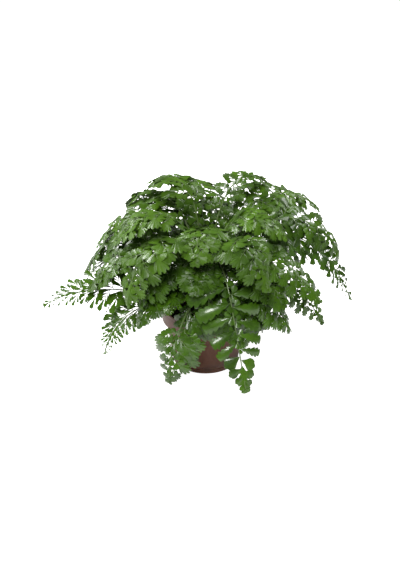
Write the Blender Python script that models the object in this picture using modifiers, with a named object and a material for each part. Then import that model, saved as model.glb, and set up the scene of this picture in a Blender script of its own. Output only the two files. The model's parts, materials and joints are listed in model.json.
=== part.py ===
"""Potted spleenwort fern: a nursery pot, its potting mix, a rhizome crown and separate arching fronds.

Units are metres, +Z is up, and the origin is the centre of the pot's underside.
Each frond is one grown piece: a bare stipe that becomes the midrib of a blade with toothed sides.
"""

from dataclasses import dataclass
from math import cos, pi, radians, sin

import bmesh
import bpy
from mathutils import Vector

# ---------------------------------------------------------------- driving dimensions
COLLECTION_NAME = "potted_fern"
CUTTER_COLLECTION_NAME = "potted_fern_cutters"
MERGE_DISTANCE = 0.0001
FIT_GAP = 0.0003

POT_HEIGHT = 0.085
POT_RIM_RADIUS = 0.060
POT_BAND_RADIUS = 0.0575
POT_BAND_BOTTOM = 0.062
POT_WALL_TOP_RADIUS = 0.0520
POT_BASE_RADIUS = 0.0440
POT_WALL = 0.0015
POT_FLOOR = 0.0020
POT_SEGMENTS = 48
RIM_EASE = 0.0004
RIM_EASE_HEIGHT = 0.0006
EDGE_EASE = 0.0005
FOOT_RING_WIDTH = 0.0060
FOOT_RECESS_DEPTH = 0.0020
FOOT_CENTRE_RADIUS = 0.0130
DRAIN_COUNT = 6
DRAIN_RADIUS = 0.0040
DRAIN_CIRCLE_RADIUS = 0.0265
DRAIN_SIDES = 16
DRAIN_CUTTER_LENGTH = 0.020

MIX_TOP = 0.0740
MIX_DOME = 0.0035
MIX_SEGMENTS = 48
MIX_EDGE_DROP = 0.0005
MIX_BAND_LEAN = 0.1
MIX_SHOULDERS = ((0.032, 0.70), (0.046, 0.25))
MIX_POCKET_SHARE = 0.90

CROWN_RADIUS = 0.0150
CROWN_BOTTOM = 0.0680
CROWN_TOP = 0.0850
CROWN_RINGS = 8
CROWN_SEGMENTS = 32
CROWN_DROP = 0.0050
STIPE_FOOT_LIFT = 0.0012

STIPE_RADIUS = 0.0011
FROND_THICKNESS = 0.0012
FROND_STIPE_STATIONS = 5
SPINE_STEPS = 120
SWAY_POWER = 1.5
BLADE_GAP_SHARE = 0.45
BLADE_DROOP = radians(12)


@dataclass(frozen=True)
class Kind:
    """How a frond's blade is laid out along its midrib."""

    pairs: int
    stipe_share: float
    widest: float
    base_fullness: float


LONG = Kind(pairs=9, stipe_share=0.47, widest=0.12, base_fullness=0.85)
BROAD = Kind(pairs=8, stipe_share=0.40, widest=0.28, base_fullness=0.50)
NARROW = Kind(pairs=10, stipe_share=0.36, widest=0.26, base_fullness=0.55)
STEEP = Kind(pairs=7, stipe_share=0.50, widest=0.34, base_fullness=0.42)


@dataclass(frozen=True)
class Frond:
    """One frond. Angles are degrees: azimuth 0 is +X, 90 is +Y; rise and fall are slopes at base and tip."""

    name: str
    kind: Kind
    base: float
    azimuth: float
    length: float
    rise: float
    fall: float
    crest: float
    snap: float
    sway: float
    roll: float
    reach: float


# Distance of the stipe bases from the crown's axis, one ring for each storey of the plant.
SKIRT = 0.0130
LOWER = 0.0108
MIDDLE = 0.0086
UPPER = 0.0062
TOP = 0.0036

FRONDS = (
    # Skirt: short fronds that hang over the rim, clear of the pot.
    Frond("frond_skirt_left", NARROW, SKIRT, -154, 0.160, 28, -78, 0.60, 1.2, 5, -36, 0.022),
    Frond("frond_skirt_front_left", BROAD, SKIRT, -103, 0.178, 58, -86, 0.48, 1.1, -20, -8, 0.024),
    Frond("frond_skirt_front_right", LONG, SKIRT, -74, 0.270, 90, -60, 0.35, 3.0, 4, 0, 0.038),
    Frond("frond_skirt_right", BROAD, SKIRT, -5, 0.188, 72, -58, 0.36, 1.3, -8, 32, 0.018),
    Frond("frond_skirt_right_small", NARROW, SKIRT, 16, 0.146, 36, -84, 0.47, 1.4, 10, 0, 0.010),
    Frond("frond_skirt_rear_right", BROAD, SKIRT, 44, 0.180, 50, -72, 0.45, 1.3, -6, 10, 0.020),
    Frond("frond_skirt_rear", BROAD, SKIRT, 76, 0.190, 55, -68, 0.45, 1.3, 8, 10, 0.022),
    Frond("frond_skirt_rear_left", NARROW, SKIRT, 108, 0.185, 48, -74, 0.48, 1.3, -8, 10, 0.020),
    Frond("frond_skirt_far_left", BROAD, SKIRT, 140, 0.172, 52, -70, 0.42, 1.3, 8, 10, 0.020),
    Frond("frond_skirt_left_rear", NARROW, SKIRT, 172, 0.150, 34, -70, 0.55, 1.2, -6, 10, 0.016),
    Frond("frond_skirt_front", NARROW, SKIRT, -86, 0.140, 79, -48, 0.48, 2.0, 0, 0, 0.024),
    Frond("frond_skirt_front_right_short", STEEP, SKIRT, -46, 0.122, 64, -60, 0.48, 2.0, 0, 0, 0.026),
    Frond("frond_skirt_right_front", NARROW, SKIRT, -22, 0.128, 82, -44, 0.54, 2.0, 5, 18, 0.026),
    Frond("frond_skirt_inner_front_left", NARROW, SKIRT, -116, 0.116, 52, -12, 0.54, 2.0, 5, 18, 0.020),
    Frond("frond_skirt_inner_left", BROAD, SKIRT, -140, 0.110, 70, -12, 0.60, 1.7, -5, -6, 0.020),
    Frond("frond_skirt_left_arch", STEEP, SKIRT, 160, 0.176, 49, -48, 0.66, 2.0, 5, -24, 0.018),
    Frond("frond_skirt_inner_rear", NARROW, SKIRT, 88, 0.122, 46, -28, 0.42, 1.7, 5, -6, 0.022),
    # Lower storey: long fronds that reach furthest out.
    Frond("frond_lower_left", NARROW, LOWER, -161, 0.206, 24, -30, 0.78, 1.2, 0, -40, 0.025),
    Frond("frond_lower_right", NARROW, LOWER, 1, 0.284, 80, -64, 0.44, 1.7, 3, 40, 0.028),
    Frond("frond_lower_front_left", BROAD, LOWER, -132, 0.146, 66, -42, 0.48, 1.5, 6, 8, 0.022),
    Frond("frond_lower_front_right", BROAD, LOWER, -36, 0.152, 66, -56, 0.44, 1.5, 6, -8, 0.024),
    Frond("frond_lower_rear_right", BROAD, LOWER, 30, 0.205, 64, -42, 0.45, 1.4, 8, 8, 0.024),
    Frond("frond_lower_rear", NARROW, LOWER, 62, 0.235, 60, -50, 0.48, 1.3, -6, 8, 0.026),
    Frond("frond_lower_rear_mid", BROAD, LOWER, 92, 0.230, 64, -55, 0.46, 1.4, 6, 8, 0.026),
    Frond("frond_lower_rear_left", BROAD, LOWER, 124, 0.230, 60, -52, 0.46, 1.4, -6, 8, 0.026),
    Frond("frond_lower_far_left", NARROW, LOWER, 156, 0.215, 58, -56, 0.46, 1.4, 8, 8, 0.024),
    Frond("frond_lower_left_arch", BROAD, LOWER, -178, 0.210, 72, -66, 0.48, 1.5, 0, 8, 0.022),
    Frond("frond_lower_front", BROAD, LOWER, -108, 0.122, 52, -72, 0.42, 2.0, -5, -12, 0.026),
    Frond("frond_lower_inner_left", BROAD, LOWER, -146, 0.110, 76, -32, 0.42, 1.4, 5, -30, 0.018),
    Frond("frond_lower_inner_rear", BROAD, LOWER, 106, 0.128, 55, -28, 0.54, 1.4, 0, -6, 0.020),
    # Middle storey.
    Frond("frond_middle_right_front", BROAD, MIDDLE, -28, 0.215, 80, -44, 0.48, 1.7, -6, 6, 0.026),
    Frond("frond_middle_front", STEEP, MIDDLE, -99, 0.158, 84, -35, 0.58, 1.8, 4, -2, 0.022),
    Frond("frond_middle_front_right", STEEP, MIDDLE, -44, 0.176, 78, -48, 0.52, 1.8, 6, 4, 0.024),
    Frond("frond_middle_front_left", BROAD, MIDDLE, -131, 0.176, 82, -54, 0.54, 1.8, -4, 8, 0.024),
    Frond("frond_middle_left_front", BROAD, MIDDLE, -160, 0.214, 80, -46, 0.50, 1.7, 2, 2, 0.028),
    Frond("frond_middle_left", BROAD, MIDDLE, 170, 0.240, 80, -62, 0.50, 1.6, 0, 4, 0.028),
    Frond("frond_middle_far_left", BROAD, MIDDLE, 143, 0.236, 78, -54, 0.50, 1.6, 3, 14, 0.026),
    Frond("frond_middle_rear_left", NARROW, MIDDLE, 112, 0.245, 78, -50, 0.50, 1.6, -3, 14, 0.026),
    Frond("frond_middle_rear", BROAD, MIDDLE, 83, 0.252, 76, -52, 0.50, 1.6, 3, 8, 0.026),
    Frond("frond_middle_inner_front_right", BROAD, MIDDLE, -60, 0.128, 58, -76, 0.45, 2.0, 5, 12, 0.026),
    Frond("frond_middle_inner_right", STEEP, MIDDLE, 30, 0.206, 79, -8, 0.54, 1.4, -5, 30, 0.018),
    # Upper storey.
    Frond("frond_upper_right", BROAD, UPPER, 8, 0.256, 78, -60, 0.57, 1.5, -6, 30, 0.028),
    Frond("frond_upper_right_rear", BROAD, UPPER, 32, 0.260, 86, -44, 0.57, 1.4, -10, 14, 0.026),
    Frond("frond_upper_rear_right", NARROW, UPPER, 56, 0.208, 62, -12, 0.66, 1.9, -3, 8, 0.022),
    Frond("frond_upper_front_right", BROAD, UPPER, -58, 0.214, 76, -60, 0.64, 2.2, 4, -4, 0.028),
    Frond("frond_upper_front_left", BROAD, UPPER, -140, 0.232, 80, -70, 0.58, 2.0, 12, 8, 0.030),
    Frond("frond_upper_left", BROAD, UPPER, 164, 0.238, 82, -56, 0.56, 1.8, 0, -12, 0.028),
    Frond("frond_upper_rear_left", BROAD, UPPER, 130, 0.246, 80, -44, 0.58, 1.8, 3, 14, 0.026),
    Frond("frond_upper_rear", BROAD, UPPER, 96, 0.250, 80, -40, 0.58, 1.8, -3, 14, 0.026),
    Frond("frond_upper_inner_front", NARROW, UPPER, -86, 0.128, 82, -56, 0.60, 1.4, -5, -6, 0.018),
    # Top storey: steep young fronds over the crown.
    Frond("frond_top_right", STEEP, TOP, 50, 0.234, 84, -30, 0.67, 2.1, 0, 4, 0.020),
    Frond("frond_top_left", STEEP, TOP, 126, 0.232, 85, -36, 0.68, 2.4, 4, 6, 0.026),
    Frond("frond_top_left_front", STEEP, TOP, -165, 0.215, 82, -46, 0.66, 2.2, 4, 6, 0.026),
    Frond("frond_top_front", STEEP, TOP, -100, 0.190, 84, -50, 0.70, 2.2, 4, 6, 0.024),
    Frond("frond_top_right_front", STEEP, TOP, -18, 0.200, 84, -44, 0.68, 2.2, 4, 6, 0.024),
)


# ---------------------------------------------------------------- scene helpers
def clear_scene():
    """Remove every object that the file starts with."""
    for scene_object in list(bpy.data.objects):
        bpy.data.objects.remove(scene_object, do_unlink=True)


def new_collection(name):
    """Return a new collection linked to the scene."""
    collection = bpy.data.collections.new(name)
    bpy.context.scene.collection.children.link(collection)
    return collection


def new_material(name, colour, roughness, metallic=0.0):
    """Return a plain Principled material."""
    material = bpy.data.materials.new(name)
    material.use_nodes = True
    shader = material.node_tree.nodes["Principled BSDF"]
    shader.inputs["Base Color"].default_value = (*colour, 1.0)
    shader.inputs["Roughness"].default_value = roughness
    shader.inputs["Metallic"].default_value = metallic
    material.diffuse_color = (*colour, 1.0)
    return material


def new_object(name, mesh, material, collection):
    """Return an object for a mesh, with its material, in a collection."""
    mesh.materials.append(material)
    scene_object = bpy.data.objects.new(name, mesh)
    collection.objects.link(scene_object)
    return scene_object


def turned_object(name, profile, segments, material, collection):
    """Return a solid of revolution. The profile runs down its outer side and starts and ends on the axis."""
    mesh = bpy.data.meshes.new(name)
    mesh.from_pydata(
        [(radius, 0.0, height) for radius, height in profile],
        [(index, index + 1) for index in range(len(profile) - 1)],
        [],
    )
    turned = new_object(name, mesh, material, collection)
    screw = turned.modifiers.new("turn", "SCREW")
    screw.axis = "Z"
    screw.steps = segments
    screw.render_steps = segments
    screw.use_merge_vertices = True
    screw.merge_threshold = MERGE_DISTANCE
    screw.use_smooth_shade = True
    return turned


def cut(target, cutter):
    """Subtract a cutter from a target and hide the cutter."""
    boolean = target.modifiers.new("cut_" + cutter.name, "BOOLEAN")
    boolean.operation = "DIFFERENCE"
    boolean.solver = "EXACT"
    boolean.object = cutter
    cutter.hide_render = True
    cutter.display_type = "WIRE"


# ---------------------------------------------------------------- pot, mix and crown
def pot_wall_radius(height):
    """Return the pot's outer wall radius below the rim band."""
    share = height / POT_BAND_BOTTOM
    return POT_BASE_RADIUS + (POT_WALL_TOP_RADIUS - POT_BASE_RADIUS) * share


def build_pot(material, collection, cutters):
    """Build the pot: rim band, tapering wall, foot ring, flat centre foot and drainage holes."""
    inner_base = POT_BASE_RADIUS - POT_WALL
    profile = (
        (POT_RIM_RADIUS - POT_WALL, POT_HEIGHT),
        (POT_RIM_RADIUS - RIM_EASE, POT_HEIGHT),
        (POT_RIM_RADIUS, POT_HEIGHT - RIM_EASE_HEIGHT),
        (POT_BAND_RADIUS, POT_BAND_BOTTOM),
        (pot_wall_radius(POT_BAND_BOTTOM), POT_BAND_BOTTOM - EDGE_EASE),
        (POT_BASE_RADIUS, 0.0),
        (POT_BASE_RADIUS - FOOT_RING_WIDTH, 0.0),
        (POT_BASE_RADIUS - FOOT_RING_WIDTH - EDGE_EASE, FOOT_RECESS_DEPTH),
        (FOOT_CENTRE_RADIUS + EDGE_EASE, FOOT_RECESS_DEPTH),
        (FOOT_CENTRE_RADIUS, 0.0),
        (0.0, 0.0),
        (0.0, FOOT_RECESS_DEPTH + POT_FLOOR),
        (inner_base, FOOT_RECESS_DEPTH + POT_FLOOR),
        (pot_wall_radius(POT_BAND_BOTTOM) - POT_WALL, POT_BAND_BOTTOM),
        (POT_BAND_RADIUS - POT_WALL, POT_BAND_BOTTOM + EDGE_EASE),
    )
    pot = turned_object("pot", profile + profile[:1], POT_SEGMENTS, material, collection)
    hole_mesh = bpy.data.meshes.new("drain_cutter")
    hole_shape = bmesh.new()
    for index in range(DRAIN_COUNT):
        angle = 2 * pi * (index + 0.5) / DRAIN_COUNT
        created = bmesh.ops.create_cone(
            hole_shape,
            cap_ends=True,
            segments=DRAIN_SIDES,
            radius1=DRAIN_RADIUS,
            radius2=DRAIN_RADIUS,
            depth=DRAIN_CUTTER_LENGTH,
        )
        centre = Vector((DRAIN_CIRCLE_RADIUS * cos(angle), DRAIN_CIRCLE_RADIUS * sin(angle), 0.0))
        bmesh.ops.translate(hole_shape, verts=created["verts"], vec=centre)
    hole_shape.to_mesh(hole_mesh)
    hole_shape.free()
    drain_cutter = bpy.data.objects.new("drain_cutter", hole_mesh)
    cutters.objects.link(drain_cutter)
    cut(pot, drain_cutter)
    return pot


def build_mix(material, collection):
    """Build the potting mix: it fills the pot, with a shallow dome and a pocket for the crown."""
    floor = FOOT_RECESS_DEPTH + POT_FLOOR + FIT_GAP
    side = POT_WALL + FIT_GAP
    pocket = CROWN_RADIUS + FIT_GAP
    edge = POT_BAND_RADIUS + (MIX_TOP - POT_BAND_BOTTOM) * MIX_BAND_LEAN - side
    shoulders = [(radius, MIX_TOP + MIX_DOME * share) for radius, share in MIX_SHOULDERS]
    profile = [
        (0.0, CROWN_BOTTOM - FIT_GAP),
        (pocket, CROWN_BOTTOM - FIT_GAP),
        (pocket, MIX_TOP + MIX_DOME * MIX_POCKET_SHARE),
        *shoulders,
        (edge, MIX_TOP - MIX_EDGE_DROP),
        (POT_BAND_RADIUS - side, POT_BAND_BOTTOM + 2 * EDGE_EASE),
        (pot_wall_radius(POT_BAND_BOTTOM) - side, POT_BAND_BOTTOM + MIX_EDGE_DROP / 2),
        (POT_BASE_RADIUS - side, floor),
        (0.0, floor),
    ]
    return turned_object("potting_mix", profile, MIX_SEGMENTS, material, collection)


def crown_height(radius):
    """Return the height of the crown's domed top at a radius."""
    share = radius / CROWN_RADIUS
    return CROWN_TOP - CROWN_DROP * share ** 2


def build_crown(material, collection):
    """Build the short domed rhizome crown that carries the stipes."""
    dome = [(CROWN_RADIUS * ring / CROWN_RINGS, crown_height(CROWN_RADIUS * ring / CROWN_RINGS))
            for ring in range(CROWN_RINGS + 1)]
    profile = dome + [(CROWN_RADIUS, CROWN_BOTTOM), (0.0, CROWN_BOTTOM)]
    return turned_object("rhizome_crown", profile, CROWN_SEGMENTS, material, collection)


# ---------------------------------------------------------------- fronds
def bend_share(share, crest, snap):
    """Return how much of a frond's bend is done at a share of its length; half of it by the crest."""
    if share <= 0.0:
        return 0.0
    if share >= 1.0:
        return 1.0
    odds = (1.0 - share) / share * crest / (1.0 - crest)
    return 1.0 / (1.0 + odds ** snap)


def spine_frames(frond):
    """Return (point, along, left, up) at SPINE_STEPS + 1 even steps along a frond's midrib."""
    heading = radians(frond.azimuth)
    foot = crown_height(frond.base) + STIPE_FOOT_LIFT
    point = Vector((frond.base * cos(heading), frond.base * sin(heading), foot))
    step = frond.length / SPINE_STEPS
    frames = []
    for index in range(SPINE_STEPS + 1):
        share = index / SPINE_STEPS
        slope = radians(frond.rise + (frond.fall - frond.rise) * bend_share(share, frond.crest, frond.snap))
        turn = heading + radians(frond.sway) * share ** SWAY_POWER
        along = Vector((cos(slope) * cos(turn), cos(slope) * sin(turn), sin(slope)))
        level = Vector((-sin(turn), cos(turn), 0.0))
        upright = along.cross(level)
        lean = radians(frond.roll)
        left = level * cos(lean) + upright * sin(lean)
        up = upright * cos(lean) - level * sin(lean)
        frames.append((point.copy(), along, left, up))
        point = point + along * step
    return frames


def pinna_length(frond, share):
    """Return the blade's half width at a share of the blade's length, 0 at its base and 1 at its tip."""
    widest = frond.kind.widest
    if share < widest:
        fullness = frond.kind.base_fullness
        return frond.reach * (fullness + (1.0 - fullness) * sin(0.5 * pi * share / widest))
    return frond.reach * (0.10 + 0.90 * (1.0 - ((share - widest) / (1.0 - widest)) ** 1.3))


def frond_stations(frond):
    """Return (share of length, half width) for each row of a frond's sheet, from base to tip."""
    kind = frond.kind
    stations = []
    for index in range(FROND_STIPE_STATIONS):
        stations.append((kind.stipe_share * index / FROND_STIPE_STATIONS, STIPE_RADIUS))
    for pair in range(kind.pairs):
        gap_share = pair / kind.pairs
        pinna_share = (pair + 0.5) / kind.pairs
        gap_width = STIPE_RADIUS if pair == 0 else pinna_length(frond, gap_share) * BLADE_GAP_SHARE
        for blade_share, width in ((gap_share, gap_width), (pinna_share, pinna_length(frond, pinna_share))):
            stations.append((kind.stipe_share + (1.0 - kind.stipe_share) * blade_share, width))
    stations.append((1.0, STIPE_RADIUS))
    return stations


def build_frond(frond, material, collection):
    """Build one frond as a thin sheet along its midrib: a narrow stipe, then a blade with toothed sides."""
    frames = spine_frames(frond)
    stations = frond_stations(frond)
    sheet = bmesh.new()
    bmesh.ops.create_grid(sheet, x_segments=2, y_segments=len(stations) - 1, size=0.5)
    for vertex in sheet.verts:
        side = round(vertex.co.x * 2)
        row = round((vertex.co.y + 0.5) * (len(stations) - 1))
        share, width = stations[row]
        point, along, left, up = frames[round(share * SPINE_STEPS)]
        droop = abs(side) * max(width - STIPE_RADIUS, 0.0)
        vertex.co = point + left * (-side * width) - up * (droop * sin(BLADE_DROOP))
    mesh = bpy.data.meshes.new(frond.name)
    sheet.to_mesh(mesh)
    sheet.free()
    blade = new_object(frond.name, mesh, material, collection)
    solidify = blade.modifiers.new("thickness", "SOLIDIFY")
    solidify.thickness = FROND_THICKNESS
    solidify.offset = 0.0
    return blade


def main():
    """Build the whole plant."""
    clear_scene()
    parts = new_collection(COLLECTION_NAME)
    cutters = new_collection(CUTTER_COLLECTION_NAME)
    pot_material = new_material("pot_plastic", (0.085, 0.036, 0.020), 0.50)
    mix_material = new_material("potting_mix", (0.020, 0.013, 0.008), 0.95)
    crown_material = new_material("crown_scales", (0.045, 0.022, 0.010), 0.85)
    build_pot(pot_material, parts, cutters)
    build_mix(mix_material, parts)
    build_crown(crown_material, parts)
    for index, frond in enumerate(FRONDS):
        tone = 1.0 + 0.15 * sin(index * 2.4)
        green = (0.080 * tone, 0.165 * tone, 0.028 * tone)
        build_frond(frond, new_material(frond.name + "_green", green, 0.38), parts)


if __name__ == "__main__":
    main()
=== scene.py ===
"""The look of a potted spleenwort fern: leafy fronds, a brown nursery pot, peat mix and a scaly crown.

The frame gives every node's place. Each frond is grown here again on the same midrib as its node, with
real leaflets in place of the node's plain toothed sheet. Lengths are metres and +Z is up.
"""

import json
import logging
import random
from dataclasses import dataclass, field
from enum import Enum
from math import cos, pi, radians, sin, sqrt

import bmesh
import bpy
import numpy as np
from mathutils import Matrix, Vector, noise


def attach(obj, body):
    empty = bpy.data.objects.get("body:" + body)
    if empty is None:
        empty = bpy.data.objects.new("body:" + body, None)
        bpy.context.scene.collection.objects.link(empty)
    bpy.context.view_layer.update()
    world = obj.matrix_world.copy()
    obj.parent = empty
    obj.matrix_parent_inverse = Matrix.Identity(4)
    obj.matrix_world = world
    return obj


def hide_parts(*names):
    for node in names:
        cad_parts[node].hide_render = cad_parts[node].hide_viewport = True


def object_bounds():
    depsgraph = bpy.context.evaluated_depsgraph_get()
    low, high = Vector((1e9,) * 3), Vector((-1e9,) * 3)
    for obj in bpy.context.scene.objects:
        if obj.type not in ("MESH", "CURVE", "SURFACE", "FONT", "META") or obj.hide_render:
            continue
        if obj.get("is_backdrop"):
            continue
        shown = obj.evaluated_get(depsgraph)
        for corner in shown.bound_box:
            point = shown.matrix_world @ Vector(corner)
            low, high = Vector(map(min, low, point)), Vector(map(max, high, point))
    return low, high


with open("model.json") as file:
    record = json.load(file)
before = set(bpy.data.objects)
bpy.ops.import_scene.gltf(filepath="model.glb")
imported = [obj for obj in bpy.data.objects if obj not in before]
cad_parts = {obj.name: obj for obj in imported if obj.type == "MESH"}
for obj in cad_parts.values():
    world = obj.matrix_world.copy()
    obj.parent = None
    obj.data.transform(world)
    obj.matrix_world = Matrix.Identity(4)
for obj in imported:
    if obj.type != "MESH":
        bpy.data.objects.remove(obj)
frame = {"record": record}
CAD_BOX = [list(corner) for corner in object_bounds()]

LOG = logging.getLogger("potted_fern")
BODY = "root"
MILLIMETRE = 0.001


# ---------------------------------------------------------------------------------------------- tools
def deselect_all() -> None:
    """Leave object mode and deselect every object."""
    if bpy.context.object is not None and bpy.context.object.mode != "OBJECT":
        bpy.ops.object.mode_set(mode="OBJECT")
    bpy.ops.object.select_all(action="DESELECT")


def choose(piece: bpy.types.Object) -> None:
    """Make one object the only selected one, and the active one.

    Args:
        piece: The object to select.
    """
    deselect_all()
    piece.select_set(True)
    bpy.context.view_layer.objects.active = piece


def apply_modifier(piece: bpy.types.Object, kind: str, **settings: object) -> None:
    """Add a modifier to a piece, set it up and apply it.

    Args:
        piece: The object that the modifier shapes.
        kind: The modifier's type, such as "SOLIDIFY".
        **settings: The modifier's properties by name.
    """
    choose(piece)
    modifier = piece.modifiers.new(kind.lower(), kind)
    for name, value in settings.items():
        setattr(modifier, name, value)
    bpy.ops.object.modifier_apply(modifier=modifier.name)


def settle(piece: bpy.types.Object) -> None:
    """Put an object's place, turn and scale into its mesh.

    Args:
        piece: The finished object.
    """
    choose(piece)
    bpy.ops.object.transform_apply(location=True, rotation=True, scale=True)


def hand_over(piece: bpy.types.Object, node: str, finish: bpy.types.Material) -> None:
    """Dress a piece, fix it to the body and hide the node that it stands for.

    Args:
        piece: The finished object.
        node: The node that the piece replaces.
        finish: The piece's material.
    """
    piece.data.materials.clear()
    piece.data.materials.append(finish)
    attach(piece, BODY)
    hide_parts(node)
    LOG.info("%s: %d faces, for %s", piece.name, len(piece.data.polygons), node)


def copied(piece: bpy.types.Object) -> bpy.types.Object:
    """Return a copy of an object with a mesh of its own."""
    copy = piece.copy()
    copy.data = piece.data.copy()
    bpy.context.scene.collection.objects.link(copy)
    return copy


def joined(pieces: list[bpy.types.Object]) -> bpy.types.Object:
    """Join objects into the first of them and put its place into its mesh.

    Args:
        pieces: The objects, the one to keep first.

    Returns:
        The joined object.
    """
    deselect_all()
    for piece in pieces:
        piece.select_set(True)
    bpy.context.view_layer.objects.active = pieces[0]
    bpy.ops.object.join()
    settle(pieces[0])
    return pieces[0]


# ---------------------------------------------------------------------------------------------- shells
@dataclass
class Shell:
    """A closed piece of leaf or stalk as plain arrays, ready to be placed many times.

    Attributes:
        points: Corner positions, n by 3.
        faces: Corner numbers of each four-sided face, m by 4.
        veins: Place across and along the veins of each corner, n by 2.
        under: 0 on the upper side and 1 on the underside, one for each corner.
    """

    points: np.ndarray
    faces: np.ndarray
    veins: np.ndarray
    under: np.ndarray

    def moved(self, points: np.ndarray, turned_over: bool = False) -> "Shell":
        """Return a copy with new corner positions.

        Args:
            points: The new corner positions.
            turned_over: True where the new place is a mirror image, so the faces are reversed.

        Returns:
            The copy.
        """
        faces = self.faces[:, ::-1] if turned_over else self.faces
        return Shell(points, faces, self.veins, self.under)


class LeafForm(Enum):
    """The shapes of leaf part that the pinnae are put together from."""

    ROUND = "round"
    FAN = "fan"
    WEDGE = "wedge"
    STRIP = "strip"
    LOBED = "lobed"
    TOOTHED = "toothed"
    TIP = "tip"


@dataclass(frozen=True)
class FanShape:
    """A leaf part whose veins spread like a fan from its foot, one unit long.

    Attributes:
        spread: Half of the fan's angle, in degrees.
        rays: Number of strips across the fan.
        rings: Number of strips along it.
        lobe_rays: Number of strips in each lobe of the outer margin.
        rounding: How much shorter the outermost veins are than the middle one.
        tooth: Depth of the notches in the outer margin, as a share of the length.
        cup: How far the sides bend down, as a share of the length.
    """

    spread: float
    rays: int
    rings: int
    lobe_rays: int
    rounding: float
    tooth: float
    cup: float

    def place(self, across: float, along: float) -> tuple[float, float, float]:
        """Return the point of the fan for a place on its grid.

        Args:
            across: -1 at one side and 1 at the other.
            along: 0 at the foot and 1 at the outer margin.

        Returns:
            The point.
        """
        ray = round((across + 1.0) * 0.5 * self.rays)
        off_lobe = abs(2.0 * (ray % self.lobe_rays) / self.lobe_rays - 1.0)
        notch = self.tooth * (0.7 + 0.6 * abs(across)) * off_lobe ** 2.6
        if ray in (0, self.rays):
            notch *= 0.3
        outer = 1.0 - self.rounding * abs(across) ** 2.4 - notch
        reach = 0.05 + 0.95 * along * outer
        angle = radians(self.spread) * across * (0.62 + 0.38 * along)
        sag = self.cup * (across * along) ** 2 + 0.35 * self.cup * along ** 2
        lobe_crown = 0.025 * along * (1.0 - off_lobe)
        return reach * cos(angle), reach * sin(angle), lobe_crown - sag


@dataclass(frozen=True)
class BladeShape:
    """A leaf part with a midrib and slanting side veins, lobed or toothed along both sides, one unit long.

    Attributes:
        lobes: Number of lobes on each side.
        half_width: Greatest half width, as a share of the length.
        widest: Where it is widest, as a share of the length.
        notch: Depth of the notches between lobes, as a share of the half width.
        slant: How far forward the side veins run for each unit outwards.
        cup: How far the sides bend down, as a share of the length.
    """

    lobes: int
    half_width: float
    widest: float
    notch: float
    slant: float
    cup: float

    @property
    def rows(self) -> int:
        """Number of strips along the blade."""
        return 4 * self.lobes

    def place(self, across: float, along: float) -> tuple[float, float, float]:
        """Return the point of the blade for a place on its grid.

        Args:
            across: -1 at one side, 0 on the midrib and 1 at the other side.
            along: 0 at the foot and 1 at the tip.

        Returns:
            The point.
        """
        row = round(along * self.rows)
        off_lobe = abs(0.5 * (row % 4) - 1.0)
        reach = 1.0 - self.notch * (1.0 - 0.35 * along) * off_lobe ** 2.6
        if along < self.widest:
            outline = 0.10 + 0.90 * (along / self.widest) ** 0.8
        else:
            outline = sqrt(max(0.03, 1.0 - ((along - self.widest) / (1.0 - self.widest)) ** 2.6))
        width = self.half_width * outline * reach
        side = abs(across)
        forward = self.slant * width * side * (1.0 - 0.6 * along ** 3)
        sag = self.cup * (side * width / self.half_width) ** 2 + 0.10 * along ** 2
        ridge = 0.030 * (1.0 - side)
        return along + forward, across * width, ridge - sag


FAN_SHAPES = {
    LeafForm.ROUND: FanShape(spread=34, rays=9, rings=2, lobe_rays=3, rounding=0.34, tooth=0.07, cup=0.10),
    LeafForm.FAN: FanShape(spread=40, rays=12, rings=2, lobe_rays=4, rounding=0.30, tooth=0.16, cup=0.14),
    LeafForm.WEDGE: FanShape(spread=21, rays=6, rings=2, lobe_rays=2, rounding=0.16, tooth=0.10, cup=0.08),
    LeafForm.STRIP: FanShape(spread=12, rays=4, rings=2, lobe_rays=2, rounding=0.16, tooth=0.08, cup=0.04),
    LeafForm.LOBED: FanShape(spread=46, rays=20, rings=2, lobe_rays=4, rounding=0.28, tooth=0.22, cup=0.15),
}
BLADE_SHAPES = {
    LeafForm.TOOTHED: BladeShape(lobes=5, half_width=0.27, widest=0.58, notch=0.48, slant=0.66, cup=0.07),
    LeafForm.TIP: BladeShape(lobes=5, half_width=0.25, widest=0.28, notch=0.62, slant=0.85, cup=0.05),
}
LEAF_THICKNESS = {
    LeafForm.ROUND: 0.040,
    LeafForm.FAN: 0.034,
    LeafForm.WEDGE: 0.036,
    LeafForm.STRIP: 0.040,
    LeafForm.LOBED: 0.026,
    LeafForm.TOOTHED: 0.016,
    LeafForm.TIP: 0.018,
}


def leaf_master(form: LeafForm) -> Shell:
    """Model one leaf part, one unit long, from a flat grid.

    Args:
        form: Which leaf part to model.

    Returns:
        The closed leaf part.
    """
    fan = FAN_SHAPES.get(form)
    blade = BLADE_SHAPES.get(form)
    across, along = (fan.rays, fan.rings) if fan else (4, blade.rows)
    shape = fan or blade
    deselect_all()
    bpy.ops.mesh.primitive_grid_add(x_subdivisions=along, y_subdivisions=across, size=2.0)
    leaf = bpy.context.object
    leaf.name = "leaf_master_" + form.value
    veins = []
    for vertex in leaf.data.vertices:
        run, side = (vertex.co.x + 1.0) * 0.5, vertex.co.y
        vertex.co = shape.place(side, run)
        veins.append((side * fan.rays * 0.5, run) if fan else (run * blade.rows, abs(side)))
    count = len(leaf.data.vertices)
    apply_modifier(leaf, "SOLIDIFY", thickness=LEAF_THICKNESS[form], offset=0.0)
    points = np.array([vertex.co[:] for vertex in leaf.data.vertices])
    faces = np.array([face.vertices[:] for face in leaf.data.polygons])
    under = np.repeat([0.0, 1.0], count)
    bpy.data.objects.remove(leaf, do_unlink=True)
    return Shell(points, faces, np.array(veins + veins), under)


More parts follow.
